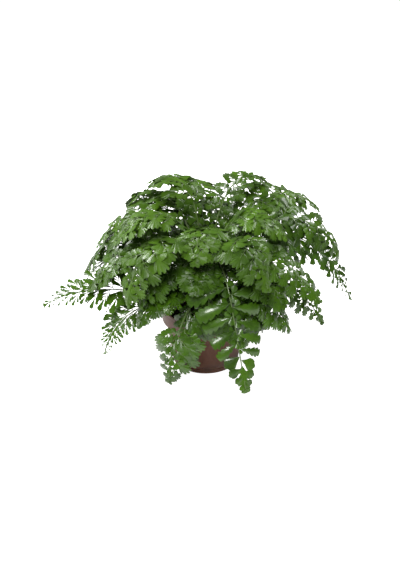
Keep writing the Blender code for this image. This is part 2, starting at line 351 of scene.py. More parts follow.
def tube(path: np.ndarray, radii: np.ndarray, sides: int) -> Shell:
    """Return a closed stalk round a path.

    Args:
        path: The points of its centre line, n by 3, which runs mostly in its own plane.
        radii: Its radius at each point.
        sides: Number of sides.

    Returns:
        The closed stalk. Both ends taper to a narrow ring that a face closes.
    """
    along = np.gradient(path, axis=0)
    along /= np.linalg.norm(along, axis=1)[:, None]
    guide = np.array([0.0, 0.0, 1.0]) if abs(along[0, 2]) < 0.9 else np.array([1.0, 0.0, 0.0])
    first = np.cross(along, guide)
    first /= np.linalg.norm(first, axis=1)[:, None]
    second = np.cross(first, along)
    points, veins = [], []
    for row in range(len(path)):
        for side in range(sides):
            angle = 2 * pi * side / sides
            offset = first[row] * cos(angle) + second[row] * sin(angle)
            points.append(path[row] + offset * radii[row])
            veins.append((side, row / (len(path) - 1)))
    faces = []
    for row in range(len(path) - 1):
        for side in range(sides):
            after = (side + 1) % sides
            low, high = row * sides, (row + 1) * sides
            faces.append((low + side, high + side, high + after, low + after))
    top = (len(path) - 1) * sides
    for side in range(1, sides // 2):
        faces.append((side - 1, side, sides - 1 - side, sides - side))
        faces.append((top + side, top + side - 1, top + sides - side, top + sides - 1 - side))
    return Shell(np.array(points), np.array(faces), np.array(veins, float), np.zeros(len(points)))


# ---------------------------------------------------------------------------------------------- fronds
@dataclass(frozen=True)
class Kind:
    """How a frond's blade is laid out along its midrib.

    Attributes:
        pairs: Number of pairs of pinnae.
        stipe_share: The bare stalk's share of the length.
        widest: Where the blade is widest, as a share of the blade.
        base_fullness: The lowest pinnae's length as a share of the longest.
        bare_share: The share of the stalk below the node's blade that bears no small inner pinnae.
        stretch: Length of a pinna as a share of the blade's half width there.
        crowding: Number of pinnae for each one of the node's.
        lean: Angle between the lowest pinnae and the midrib, in degrees.
        taper: How long the blade stays broad before its tip; 1 is a straight taper.
        fine: True where the pinnae are cut into narrow strips.
    """

    pairs: int
    stipe_share: float
    widest: float
    base_fullness: float
    bare_share: float = 0.62
    stretch: float = 1.30
    crowding: float = 1.25
    lean: float = 72
    taper: float = 1.3
    fine: bool = False


LONG = Kind(
    pairs=9,
    stipe_share=0.47,
    widest=0.12,
    base_fullness=0.85,
    bare_share=0.80,
    stretch=1.20,
    crowding=1.15,
    lean=84,
)
BROAD = Kind(8, 0.40, widest=0.28, base_fullness=0.50, stretch=1.38, crowding=1.12, taper=1.7)
NARROW = Kind(10, 0.36, widest=0.26, base_fullness=0.55, lean=62, fine=True)
STEEP = Kind(7, 0.50, widest=0.34, base_fullness=0.42, stretch=1.38, crowding=1.12, taper=1.7)


@dataclass(frozen=True)
class Frond:
    """One frond, with the same values as its node.

    Attributes:
        name: The node's name.
        kind: The blade's layout.
        base: Distance of the stalk's foot from the crown's axis.
        azimuth: Heading at the foot in degrees, 0 along +X and 90 along +Y.
        length: Length along the midrib.
        rise: Slope at the foot, in degrees.
        fall: Slope at the tip, in degrees.
        crest: Where half of the bend is done, as a share of the length.
        snap: How sharply it bends there.
        sway: Change of heading along the frond, in degrees.
        roll: Turn of the blade about its midrib, in degrees.
        reach: Half width of the blade at its widest.
    """

    name: str
    kind: Kind
    base: float
    azimuth: float
    length: float
    rise: float
    fall: float
    crest: float
    snap: float
    sway: float
    roll: float
    reach: float


SKIRT = 0.0130
LOWER = 0.0108
MIDDLE = 0.0086
UPPER = 0.0062
TOP = 0.0036

FRONDS = (
    # Skirt: short fronds that hang over the rim, clear of the pot.
    Frond("frond_skirt_left", NARROW, SKIRT, -154, 0.160, 28, -78, 0.60, 1.2, 5, -36, 0.022),
    Frond("frond_skirt_front_left", BROAD, SKIRT, -103, 0.178, 58, -86, 0.48, 1.1, -20, -8, 0.024),
    Frond("frond_skirt_front_right", LONG, SKIRT, -74, 0.270, 90, -60, 0.35, 3.0, 4, 0, 0.038),
    Frond("frond_skirt_right", BROAD, SKIRT, -5, 0.188, 72, -58, 0.36, 1.3, -8, 32, 0.018),
    Frond("frond_skirt_right_small", NARROW, SKIRT, 16, 0.146, 36, -84, 0.47, 1.4, 10, 0, 0.010),
    Frond("frond_skirt_rear_right", BROAD, SKIRT, 44, 0.180, 50, -72, 0.45, 1.3, -6, 10, 0.020),
    Frond("frond_skirt_rear", BROAD, SKIRT, 76, 0.190, 55, -68, 0.45, 1.3, 8, 10, 0.022),
    Frond("frond_skirt_rear_left", NARROW, SKIRT, 108, 0.185, 48, -74, 0.48, 1.3, -8, 10, 0.020),
    Frond("frond_skirt_far_left", BROAD, SKIRT, 140, 0.172, 52, -70, 0.42, 1.3, 8, 10, 0.020),
    Frond("frond_skirt_left_rear", NARROW, SKIRT, 172, 0.150, 34, -70, 0.55, 1.2, -6, 10, 0.016),
    Frond("frond_skirt_front", NARROW, SKIRT, -86, 0.140, 79, -48, 0.48, 2.0, 0, 0, 0.024),
    Frond("frond_skirt_front_right_short", STEEP, SKIRT, -46, 0.122, 64, -60, 0.48, 2.0, 0, 0, 0.026),
    Frond("frond_skirt_right_front", NARROW, SKIRT, -22, 0.128, 82, -44, 0.54, 2.0, 5, 18, 0.026),
    Frond("frond_skirt_inner_front_left", NARROW, SKIRT, -116, 0.116, 52, -12, 0.54, 2.0, 5, 18, 0.020),
    Frond("frond_skirt_inner_left", BROAD, SKIRT, -140, 0.110, 70, -12, 0.60, 1.7, -5, -6, 0.020),
    Frond("frond_skirt_left_arch", STEEP, SKIRT, 160, 0.176, 49, -48, 0.66, 2.0, 5, -24, 0.018),
    Frond("frond_skirt_inner_rear", NARROW, SKIRT, 88, 0.122, 46, -28, 0.42, 1.7, 5, -6, 0.022),
    # Lower storey: long fronds that reach furthest out.
    Frond("frond_lower_left", NARROW, LOWER, -161, 0.206, 24, -30, 0.78, 1.2, 0, -40, 0.025),
    Frond("frond_lower_right", NARROW, LOWER, 1, 0.284, 80, -64, 0.44, 1.7, 3, 40, 0.028),
    Frond("frond_lower_front_left", BROAD, LOWER, -132, 0.146, 66, -42, 0.48, 1.5, 6, 8, 0.022),
    Frond("frond_lower_front_right", BROAD, LOWER, -36, 0.152, 66, -56, 0.44, 1.5, 6, -8, 0.024),
    Frond("frond_lower_rear_right", BROAD, LOWER, 30, 0.205, 64, -42, 0.45, 1.4, 8, 8, 0.024),
    Frond("frond_lower_rear", NARROW, LOWER, 62, 0.235, 60, -50, 0.48, 1.3, -6, 8, 0.026),
    Frond("frond_lower_rear_mid", BROAD, LOWER, 92, 0.230, 64, -55, 0.46, 1.4, 6, 8, 0.026),
    Frond("frond_lower_rear_left", BROAD, LOWER, 124, 0.230, 60, -52, 0.46, 1.4, -6, 8, 0.026),
    Frond("frond_lower_far_left", NARROW, LOWER, 156, 0.215, 58, -56, 0.46, 1.4, 8, 8, 0.024),
    Frond("frond_lower_left_arch", BROAD, LOWER, -178, 0.210, 72, -66, 0.48, 1.5, 0, 8, 0.022),
    Frond("frond_lower_front", BROAD, LOWER, -108, 0.122, 52, -72, 0.42, 2.0, -5, -12, 0.026),
    Frond("frond_lower_inner_left", BROAD, LOWER, -146, 0.110, 76, -32, 0.42, 1.4, 5, -30, 0.018),
    Frond("frond_lower_inner_rear", BROAD, LOWER, 106, 0.128, 55, -28, 0.54, 1.4, 0, -6, 0.020),
    # Middle storey.
    Frond("frond_middle_right_front", BROAD, MIDDLE, -28, 0.215, 80, -44, 0.48, 1.7, -6, 6, 0.026),
    Frond("frond_middle_front", STEEP, MIDDLE, -99, 0.158, 84, -35, 0.58, 1.8, 4, -2, 0.022),
    Frond("frond_middle_front_right", STEEP, MIDDLE, -44, 0.176, 78, -48, 0.52, 1.8, 6, 4, 0.024),
    Frond("frond_middle_front_left", BROAD, MIDDLE, -131, 0.176, 82, -54, 0.54, 1.8, -4, 8, 0.024),
    Frond("frond_middle_left_front", BROAD, MIDDLE, -160, 0.214, 80, -46, 0.50, 1.7, 2, 2, 0.028),
    Frond("frond_middle_left", BROAD, MIDDLE, 170, 0.240, 80, -62, 0.50, 1.6, 0, 4, 0.028),
    Frond("frond_middle_far_left", BROAD, MIDDLE, 143, 0.236, 78, -54, 0.50, 1.6, 3, 14, 0.026),
    Frond("frond_middle_rear_left", NARROW, MIDDLE, 112, 0.245, 78, -50, 0.50, 1.6, -3, 14, 0.026),
    Frond("frond_middle_rear", BROAD, MIDDLE, 83, 0.252, 76, -52, 0.50, 1.6, 3, 8, 0.026),
    Frond("frond_middle_inner_front_right", BROAD, MIDDLE, -60, 0.128, 58, -76, 0.45, 2.0, 5, 12, 0.026),
    Frond("frond_middle_inner_right", STEEP, MIDDLE, 30, 0.206, 79, -8, 0.54, 1.4, -5, 30, 0.018),
    # Upper storey.
    Frond("frond_upper_right", BROAD, UPPER, 8, 0.256, 78, -60, 0.57, 1.5, -6, 30, 0.028),
    Frond("frond_upper_right_rear", BROAD, UPPER, 32, 0.260, 86, -44, 0.57, 1.4, -10, 14, 0.026),
    Frond("frond_upper_rear_right", NARROW, UPPER, 56, 0.208, 62, -12, 0.66, 1.9, -3, 8, 0.022),
    Frond("frond_upper_front_right", BROAD, UPPER, -58, 0.214, 76, -60, 0.64, 2.2, 4, -4, 0.028),
    Frond("frond_upper_front_left", BROAD, UPPER, -140, 0.232, 80, -70, 0.58, 2.0, 12, 8, 0.030),
    Frond("frond_upper_left", BROAD, UPPER, 164, 0.238, 82, -56, 0.56, 1.8, 0, -12, 0.028),
    Frond("frond_upper_rear_left", BROAD, UPPER, 130, 0.246, 80, -44, 0.58, 1.8, 3, 14, 0.026),
    Frond("frond_upper_rear", BROAD, UPPER, 96, 0.250, 80, -40, 0.58, 1.8, -3, 14, 0.026),
    Frond("frond_upper_inner_front", NARROW, UPPER, -86, 0.128, 82, -56, 0.60, 1.4, -5, -6, 0.018),
    # Top storey: steep young fronds over the crown.
    Frond("frond_top_right", STEEP, TOP, 50, 0.234, 84, -30, 0.67, 2.1, 0, 4, 0.020),
    Frond("frond_top_left", STEEP, TOP, 126, 0.232, 85, -36, 0.68, 2.4, 4, 6, 0.026),
    Frond("frond_top_left_front", STEEP, TOP, -165, 0.215, 82, -46, 0.66, 2.2, 4, 6, 0.026),
    Frond("frond_top_front", STEEP, TOP, -100, 0.190, 84, -50, 0.70, 2.2, 4, 6, 0.024),
    Frond("frond_top_right_front", STEEP, TOP, -18, 0.200, 84, -44, 0.68, 2.2, 4, 6, 0.024),
)

CROWN_RADIUS = 0.0150
CROWN_TOP = 0.0850
SPINE_STEPS = 120
SWAY_POWER = 1.5
STIPE_FOOT_LIFT = 0.0012
CROWN_DROP = 0.0050
SLIGHT_REACH = 0.0255


def crown_height(radius: float) -> float:
    """Return the height of the crown's domed top at a radius."""
    return CROWN_TOP - CROWN_DROP * (radius / CROWN_RADIUS) ** 2


@dataclass
class Spine:
    """A frond's midrib: its points, and the directions along, left of and above the blade at each.

    Attributes:
        frond: The frond.
    """

    frond: Frond
    points: np.ndarray = field(init=False)
    along: np.ndarray = field(init=False)
    left: np.ndarray = field(init=False)
    up: np.ndarray = field(init=False)

    def __post_init__(self) -> None:
        """Walk up the frond in even steps and keep a frame at each."""
        frond = self.frond
        heading = radians(frond.azimuth)
        foot = crown_height(frond.base) + STIPE_FOOT_LIFT
        point = Vector((frond.base * cos(heading), frond.base * sin(heading), foot))
        step = frond.length / SPINE_STEPS
        rows = []
        for index in range(SPINE_STEPS + 1):
            share = index / SPINE_STEPS
            slope = radians(frond.rise + (frond.fall - frond.rise) * self.bend_share(share))
            turn = heading + radians(frond.sway) * share ** SWAY_POWER
            along = Vector((cos(slope) * cos(turn), cos(slope) * sin(turn), sin(slope)))
            level = Vector((-sin(turn), cos(turn), 0.0))
            upright = along.cross(level)
            lean = radians(frond.roll)
            left = level * cos(lean) + upright * sin(lean)
            up = upright * cos(lean) - level * sin(lean)
            rows.append((*point, *along, *left, *up))
            point = point + along * step
        table = np.array(rows)
        self.points, self.along, self.left, self.up = (table[:, first:first + 3] for first in (0, 3, 6, 9))

    def bend_share(self, share: float) -> float:
        """Return how much of the bend is done at a share of the length."""
        if share <= 0.0 or share >= 1.0:
            return min(1.0, max(0.0, share))
        odds = (1.0 - share) / share * self.frond.crest / (1.0 - self.frond.crest)
        return 1.0 / (1.0 + odds ** self.frond.snap)

    def bent(self, flat: np.ndarray) -> np.ndarray:
        """Lay flat blade points along the bent midrib.

        Args:
            flat: Points as (left of the midrib, along it, above it), n by 3.

        Returns:
            The points in the object's frame.
        """
        steps = np.linspace(0.0, self.frond.length, SPINE_STEPS + 1)
        inside = np.clip(flat[:, 1], 0.0, self.frond.length)
        past = (flat[:, 1] - inside)[:, None]

        def read(table: np.ndarray) -> np.ndarray:
            """Return a table's values at each point's place along the midrib."""
            return np.stack([np.interp(inside, steps, table[:, axis]) for axis in range(3)], 1)

        middle = read(self.points) + read(self.along) * past
        return middle + read(self.left) * flat[:, :1] + read(self.up) * flat[:, 2:]


@dataclass
class PinnaPart:
    """Where one leaf part sits on its pinna.

    Attributes:
        form: The leaf part's shape.
        foot: Place of its foot along the pinna, as a share of the pinna's length.
        angle: Its direction from the pinna's axis in degrees, positive towards the frond's tip.
        length: Its length as a share of the pinna's length.
    """

    form: LeafForm
    foot: float
    angle: float
    length: float


def broad_pinna(fullness: float) -> list[PinnaPart]:
    """Return the parts of a broad pinna: pairs of round pinnules below a scalloped fan.

    Args:
        fullness: The pinna's length as a share of the frond's longest pinna.

    Returns:
        The leaf parts.
    """
    if fullness < 0.30:
        return [PinnaPart(LeafForm.FAN, 0.02, 0, 1.10)]
    if fullness < 0.46:
        return [
            PinnaPart(LeafForm.ROUND, 0.10, 46, 0.56),
            PinnaPart(LeafForm.FAN, 0.12, -8, 0.94),
        ]
    if fullness < 0.72:
        return [
            PinnaPart(LeafForm.ROUND, 0.07, 60, 0.44),
            PinnaPart(LeafForm.ROUND, 0.12, -56, 0.42),
            PinnaPart(LeafForm.ROUND, 0.34, 44, 0.44),
            PinnaPart(LeafForm.ROUND, 0.38, -42, 0.42),
            PinnaPart(LeafForm.LOBED, 0.46, 0, 0.62),
        ]
    return [
        PinnaPart(LeafForm.ROUND, 0.05, 62, 0.37),
        PinnaPart(LeafForm.ROUND, 0.09, -59, 0.35),
        PinnaPart(LeafForm.ROUND, 0.24, 52, 0.42),
        PinnaPart(LeafForm.ROUND, 0.28, -49, 0.40),
        PinnaPart(LeafForm.ROUND, 0.44, 42, 0.38),
        PinnaPart(LeafForm.ROUND, 0.47, -40, 0.37),
        PinnaPart(LeafForm.LOBED, 0.55, 0, 0.54),
    ]


def long_pinna(fullness: float) -> list[PinnaPart]:
    """Return the parts of a pinna of the long frond: an oblong lobed blade over small round pinnules.

    Args:
        fullness: The pinna's length as a share of the frond's longest pinna.

    Returns:
        The leaf parts.
    """
    if fullness < 0.54:
        return [PinnaPart(LeafForm.ROUND, 0.02, 0, 1.00)]
    return [
        PinnaPart(LeafForm.ROUND, 0.06, 66, 0.27),
        PinnaPart(LeafForm.ROUND, 0.08, -64, 0.25),
        PinnaPart(LeafForm.TOOTHED, 0.10, 0, 0.86),
    ]


def fine_pinna(fullness: float, slight: bool) -> list[PinnaPart]:
    """Return the parts of a finely cut pinna: forward-slanting notched strips and a wedge at the end.

    Args:
        fullness: The pinna's length as a share of the frond's longest pinna.
        slight: True where every part is a narrow strip.

    Returns:
        The leaf parts.
    """
    broad = LeafForm.STRIP if slight else LeafForm.WEDGE
    if fullness < 0.24:
        return [PinnaPart(broad, 0.0, 0, 1.15)]
    pairs = 1 if fullness < 0.44 else (2 if fullness < 0.66 else 3)
    parts = [PinnaPart(broad, 0.46, 0, 0.60)]
    for pair in range(pairs):
        foot = 0.06 + 0.46 * pair / pairs
        length = 0.58 - 0.06 * pair
        parts.append(PinnaPart(broad, foot, 36 - 3 * pair, length))
        parts.append(PinnaPart(LeafForm.STRIP if pair else broad, foot + 0.04, 3 * pair - 34, length - 0.04))
    return parts


def pinna_parts(frond: Frond, fullness: float) -> list[PinnaPart]:
    """Return the leaf parts of one of a frond's pinnae, given its share of the frond's longest."""
    if frond.kind.fine:
        return fine_pinna(fullness, frond.reach < SLIGHT_REACH)
    return long_pinna(fullness) if frond.kind is LONG else broad_pinna(fullness)


@dataclass
class Foliage:
    """Grows the fronds from a few leaf parts that are modelled once.

    Attributes:
        masters: The closed leaf parts, by form.
    """

    masters: dict[LeafForm, Shell] = field(default_factory=dict)

    def __post_init__(self) -> None:
        """Model the leaf parts."""
        for form in LeafForm:
            self.masters[form] = leaf_master(form)

    def grow(self, frond: Frond, finish: bpy.types.Material) -> bpy.types.Object:
        """Build one frond and hand it over in place of its node.

        Args:
            frond: The frond's values.
            finish: The leaf material.

        Returns:
            The frond's object.
        """
        grower = FrondGrower(frond, self.masters)
        piece = grower.build()
        hand_over(piece, frond.name, finish)
        return piece


def slot_of(node: str) -> str:
    """Return a node's material slot from the record."""
    for row in frame["record"]["subparts"]:
        if row["node"] == node:
            return row["material_slot"]
    raise KeyError(node)


SKIRT_BARE_SHARE = 1.0
TIPWARD_CROWDING = 1.25
# Fronds that bear no leaf on their first pairs of places, and fronds whose right side is shorter.
LATE_START = {"frond_skirt_front_left": 3, "frond_lower_front_left": 1, "frond_lower_front": 1}
CROWDED_SIDE = {"frond_lower_front": 0.42, "frond_skirt_front_left": 0.80}
FLAT_DROOP = (0.16, 0.30)
HANGING_DROOP = (0.30, 0.55)
DROOP_CHANGE = (0.6, 1.5)
LEAN_CHANGE = 26
LEAN_SPREAD = 5
TWIST_SPREAD = 14
LIFT_RANGE = (2, 16)
TILT_SPREAD = 7
SIDE_TILT = 0.10
TIP_NARROWEST = 0.10
STALK_ROWS = 44
STALK_SIDES = 8
STALK_END = 0.985
STALK_SWELL = 0.35
STALK_SWELL_REACH = 0.03
PINNA_STALK_ROWS = 7
PINNA_STALK_SIDES = 6
PINNA_STALK_RISE = 0.012
FINE_TIP_SHARE = 0.055
BROAD_TIP_SHARE = 0.12
TIP_BEYOND_START = 0.96
LEAF_CLEARANCE = 0.0002
# Places of a pair's two pinnae, in steps from pair to pair, and how far they vary along the blade.
PAIR_START = 0.30
LEFT_AHEAD = 0.22
RIGHT_BEHIND = 0.12
PAIR_SPREAD = 0.010
PINNA_GROWTH = (0.93, 1.06)
PART_GROWTH = (0.92, 1.08)
SHARP_ANGLE = 55
MIDDLE_TONE = 0.5
TIP_TONE = 0.62
TIPWARD_TONE = 0.10
FROND_TONE_SPREAD = 0.12
PINNA_TONE_SPREAD = 0.10
PART_TONE_SPREAD = 0.05
# A value of the stalk attribute that reads as green stalk: 1 plus a place well up it.
GREEN_STALK = 1.75
STALK_FOOT_RADIUS = 1.30 * MILLIMETRE
STALK_TIP_RADIUS = 0.50 * MILLIMETRE
PINNA_STALK_RADIUS = 0.46 * MILLIMETRE


@dataclass
class FrondGrower:
    """Puts one frond together: the stalk, then each pinna with its leaf parts, then the end blade.

    Attributes:
        frond: The frond's values.
        masters: The closed leaf parts, by form.
    """

    frond: Frond
    masters: dict[LeafForm, Shell]
    shells: list[Shell] = field(default_factory=list)
    tones: list[np.ndarray] = field(default_factory=list)
    stalks: list[np.ndarray] = field(default_factory=list)

    def __post_init__(self) -> None:
        """Prepare the midrib and a chance of the frond's own."""
        self.spine = Spine(self.frond)
        self.chance = random.Random(self.frond.name)
        self.tone = self.chance.uniform(-FROND_TONE_SPREAD, FROND_TONE_SPREAD)
        droops = FLAT_DROOP if self.frond.kind in (LONG, NARROW) else HANGING_DROOP
        self.droop = self.chance.uniform(*droops)

    def add(self, shell: Shell, tone: float, stalk: float | np.ndarray) -> None:
        """Keep a placed shell with its tone and its share of stalk.

        Args:
            shell: The shell in the object's frame.
            tone: How fresh its green is, about 0 to 1.
            stalk: 0 on leaf; on stalk, 1 plus the place along it from foot to tip.
        """
        self.shells.append(shell)
        self.tones.append(np.full(len(shell.points), tone))
        self.stalks.append(np.broadcast_to(np.asarray(stalk, float), (len(shell.points),)))

    def half_width(self, share: float) -> float:
        """Return the blade's half width at a share of the blade."""
        frond, kind = self.frond, self.frond.kind
        if share < 0.0:
            return frond.reach * kind.base_fullness * max(0.55, 1.0 + share)
        if share < kind.widest:
            fullness = kind.base_fullness
            return frond.reach * (fullness + (1.0 - fullness) * sin(0.5 * pi * share / kind.widest))
        past = (share - kind.widest) / (1.0 - kind.widest)
        return frond.reach * (TIP_NARROWEST + (1.0 - TIP_NARROWEST) * (1.0 - past ** kind.taper))

    def stalk(self) -> None:
        """Build the stipe and midrib as one tapering stalk."""
        share = np.linspace(0.0, STALK_END, STALK_ROWS)
        flat = np.zeros((STALK_ROWS, 3))
        flat[:, 1] = share * self.frond.length
        radii = STALK_TIP_RADIUS + (STALK_FOOT_RADIUS - STALK_TIP_RADIUS) * (1.0 - share) ** 0.9
        radii *= 1.0 + STALK_SWELL * np.exp(-((share / STALK_SWELL_REACH) ** 2))
        shell = tube(flat, radii, STALK_SIDES)
        place = 1.0 + shell.veins[:, 1]
        bent = self.spine.bent(shell.points)
        self.add(shell.moved(bent, turned_over=True), MIDDLE_TONE + self.tone, place)

    def pinna(self, share: float, side: int, length: float, fullness: float) -> None:
        """Build one pinna on its own short stalk.

        Args:
            share: Its place along the blade, 0 at the blade's foot and 1 at its tip.
            side: 1 on the left of the midrib and -1 on the right.
            length: Its length.
            fullness: Its length as a share of the frond's longest pinna.
        """
        chance, kind, frond = self.chance, self.frond.kind, self.frond
        start = (kind.stipe_share + (1.0 - kind.stipe_share) * share) * frond.length
        lean = radians(kind.lean - LEAN_CHANGE * share + chance.uniform(-LEAN_SPREAD, LEAN_SPREAD))
        twist = radians(chance.uniform(-TWIST_SPREAD, TWIST_SPREAD))
        lift = radians(chance.uniform(*LIFT_RANGE))
        droop = self.droop * chance.uniform(*DROOP_CHANGE)
        axis = np.array([side * sin(lean), cos(lean), 0.0])
        fore = np.array([-side * cos(lean), sin(lean), 0.0])
        rise = np.array([0.0, 0.0, 1.0])
        fore, rise = fore * cos(twist) + rise * sin(twist), rise * cos(twist) - fore * sin(twist)
        axis, rise = axis * cos(lift) + rise * sin(lift), rise * cos(lift) - axis * sin(lift)
        tone = MIDDLE_TONE + self.tone + chance.uniform(-PINNA_TONE_SPREAD, PINNA_TONE_SPREAD)
        tone += TIPWARD_TONE * share

        def put(points: np.ndarray) -> np.ndarray:
            """Lay points of the pinna's own flat frame, in metres, on the bent frond."""
            sagged = points.copy()
            run = np.clip(points[:, 0], 0.0, None)
            sagged[:, 2] -= droop * run ** 2 / max(length, 1e-6)
            flat = sagged[:, :1] * axis + sagged[:, 1:2] * fore + sagged[:, 2:] * rise
            flat[:, 1] += start
            return self.spine.bent(flat)

        parts = pinna_parts(frond, fullness)
        reach = max(part.foot + 0.25 * part.length * abs(cos(radians(part.angle))) for part in parts)
        line = np.zeros((PINNA_STALK_ROWS, 3))
        line[:, 0] = np.linspace(-LEAF_CLEARANCE, reach * length, PINNA_STALK_ROWS)
        line[:, 2] = PINNA_STALK_RISE * length
        thin = PINNA_STALK_RADIUS * (0.55 + 0.45 * fullness) * np.linspace(1.0, 0.45, PINNA_STALK_ROWS)
        rib = tube(line, thin, PINNA_STALK_SIDES)
        self.add(rib.moved(put(rib.points), turned_over=side < 0), tone, GREEN_STALK)
        for part in parts:
            master = self.masters[part.form]
            grown = part.length * length * chance.uniform(*PART_GROWTH)
            turn = radians(part.angle + chance.uniform(-LEAN_SPREAD, LEAN_SPREAD))
            tilt = radians(chance.uniform(-TILT_SPREAD, TILT_SPREAD)) + (SIDE_TILT if part.angle else 0.0)
            local = master.points * grown
            local = local + np.array([0.0, 0.0, 1.0]) * (local[:, :1] * sin(tilt))
            spun = local.copy()
            spun[:, 0] = local[:, 0] * cos(turn) - local[:, 1] * sin(turn) + part.foot * length
            spun[:, 1] = local[:, 0] * sin(turn) + local[:, 1] * cos(turn)
            part_tone = tone + chance.uniform(-PART_TONE_SPREAD, PART_TONE_SPREAD)
            self.add(master.moved(put(spun), turned_over=side > 0), part_tone, 0.0)

    def build(self) -> bpy.types.Object:
        """Grow the whole frond.

        Returns:
            The frond's object.
        """
        kind, frond = self.frond.kind, self.frond
        self.stalk()
        bare = kind.stipe_share * (SKIRT_BARE_SHARE if frond.base == SKIRT else kind.bare_share)
        pairs = round(kind.pairs * kind.crowding)
        hidden_pairs = round((kind.stipe_share - bare) / (1.0 - kind.stipe_share) * pairs)
        for pair in range(LATE_START.get(frond.name, -hidden_pairs), pairs):
            for side in (1, -1):
                even = (pair + PAIR_START + (LEFT_AHEAD if side > 0 else -RIGHT_BEHIND)) / pairs
                share = 1.0 - (1.0 - even) ** TIPWARD_CROWDING if even > 0.0 else even
                share += self.chance.uniform(-PAIR_SPREAD, PAIR_SPREAD)
                width = self.half_width(share)
                length = width * kind.stretch * self.chance.uniform(*PINNA_GROWTH)
                if side < 0:
                    length *= CROWDED_SIDE.get(frond.name, 1.0)
                self.pinna(share, side, length, width / frond.reach)
        self.tip_blade()
        return self.joined()

    def tip_blade(self) -> None:
        """Build the blade that ends the frond: a narrow strip on a fine frond, a lobed blade on others."""
        frond = self.frond
        form = LeafForm.STRIP if frond.kind.fine else LeafForm.TIP
        length = (FINE_TIP_SHARE if frond.kind.fine else BROAD_TIP_SHARE) * frond.length
        master = self.masters[form]
        start = frond.length - length * TIP_BEYOND_START
        local = master.points * length
        flat = np.stack([local[:, 1], local[:, 0] + start, local[:, 2] + LEAF_CLEARANCE], 1)
        self.add(master.moved(self.spine.bent(flat)), TIP_TONE + self.tone, 0.0)

    def joined(self) -> bpy.types.Object:
        """Join the frond's shells into one object with its vein map and its tone, under and stalk values.

        Returns:
            The object.
        """
        points = np.concatenate([shell.points for shell in self.shells])
        veins = np.concatenate([shell.veins for shell in self.shells])
        under = np.concatenate([shell.under for shell in self.shells])
        offsets = np.cumsum([0] + [len(shell.points) for shell in self.shells[:-1]])
        moved = [shell.faces + offset for shell, offset in zip(self.shells, offsets)]
        faces = np.concatenate(moved).tolist()
        mesh = bpy.data.meshes.new(self.frond.name + "_leafy")
        mesh.from_pydata(points.tolist(), [], faces)
        for name, values in (
            ("tone", np.concatenate(self.tones)),
            ("under", under),
            ("stalk", np.concatenate(self.stalks)),
        ):
            mesh.attributes.new(name, "FLOAT", "POINT").data.foreach_set("value", values.astype(np.float32))
        corners = np.empty(len(mesh.loops), dtype=np.int32)
        mesh.loops.foreach_get("vertex_index", corners)
        layer = mesh.uv_layers.new(name="veins")
        layer.data.foreach_set("uv", veins[corners].astype(np.float32).ravel())
        mesh.shade_smooth()
        mesh.set_sharp_from_angle(angle=radians(SHARP_ANGLE))
        mesh.validate()
        piece = bpy.data.objects.new(self.frond.name + "_leafy", mesh)
        bpy.context.scene.collection.objects.link(piece)
        return piece


# ---------------------------------------------------------------------------------------------- finishes
Colour = tuple[float, float, float]
Socket = bpy.types.NodeSocket


class NodeSheet:
    """Adds shader nodes to one tree and links them."""

    def __init__(self, tree: bpy.types.NodeTree) -> None:
        """Start on a tree.

        Args:
            tree: The node tree to add to.
        """
        self.tree = tree

    def add(self, kind: str, inputs: dict | None = None, **settings: object) -> bpy.types.Node:
        """Add a node, set it up and link what feeds it.

        Args:
            kind: The node's type.
            inputs: For each input, by name or number, a socket to link or a value to set.
            **settings: The node's own properties.

        Returns:
            The node.
        """
        node = self.tree.nodes.new(kind)
        for name, value in settings.items():
            setattr(node, name, value)
        for key, value in (inputs or {}).items():
            if isinstance(value, bpy.types.NodeSocket):
                self.tree.links.new(value, node.inputs[key])
            else:
                node.inputs[key].default_value = value
        return node

    def sum(self, operation: str, first: Socket | float, second: Socket | float = 0.0) -> Socket:
        """Return the result of a Math node."""
        return self.add("ShaderNodeMath", {0: first, 1: second}, operation=operation).outputs[0]

    def mix(self, share: Socket | float, first: Socket | tuple, second: Socket | tuple) -> Socket:
        """Return a blend of two colours."""
        node = self.add("ShaderNodeMix", {0: share, 6: first, 7: second}, data_type="RGBA")
        return node.outputs[2]

    def noise(self, place: Socket, scale: Socket | float, detail: float = 3.0) -> Socket:
        """Return noise from 0 to 1 at a place, with a scale in waves for each metre."""
        inputs = {"Vector": place, "Scale": scale, "Detail": detail}
        return self.add("ShaderNodeTexNoise", inputs).outputs["Fac"]

    def spread(
        self, value: Socket, low: float, high: float, first: float = 0.0, last: float = 1.0
    ) -> Socket:
        """Return a value stretched from low..high to first..last and held inside it."""
        inputs = {0: value, 1: low, 2: high, 3: first, 4: last}
        return self.add("ShaderNodeMapRange", inputs, interpolation_type="SMOOTHSTEP").outputs[0]

    def attribute(self, name: str) -> Socket:
        """Return one of the piece's own values."""
        return self.add("ShaderNodeAttribute", attribute_name=name).outputs["Fac"]

    def place(self) -> Socket:
        """Return the place on the piece, in metres."""
        return self.add("ShaderNodeTexCoord").outputs["Object"]


def new_group(
    name: str, inputs: dict[str, str], outputs: dict[str, str]
) -> tuple[NodeSheet, dict[str, Socket]]:
    """Start a shader node group.

    Args:
        name: The group's name.
        inputs: Its inputs, with "Color" or "Float" for each.
        outputs: Its outputs, with "Color" or "Float" for each.

    Returns:
        The group's sheet, and its input values by name.
    """
    group = bpy.data.node_groups.new(name, "ShaderNodeTree")
    for sockets, way in ((inputs, "INPUT"), (outputs, "OUTPUT")):
        for socket, kind in sockets.items():
            group.interface.new_socket(name=socket, in_out=way, socket_type="NodeSocket" + kind)
    sheet = NodeSheet(group)
    source = sheet.add("NodeGroupInput")
    return sheet, {socket: source.outputs[socket] for socket in inputs}


LEAF_ROUGHNESS = 0.24
MOTTLE_ROUGHENING = 0.16
UNDERSIDE_ROUGHENING = 0.2
VEIN_SHARE = 0.22
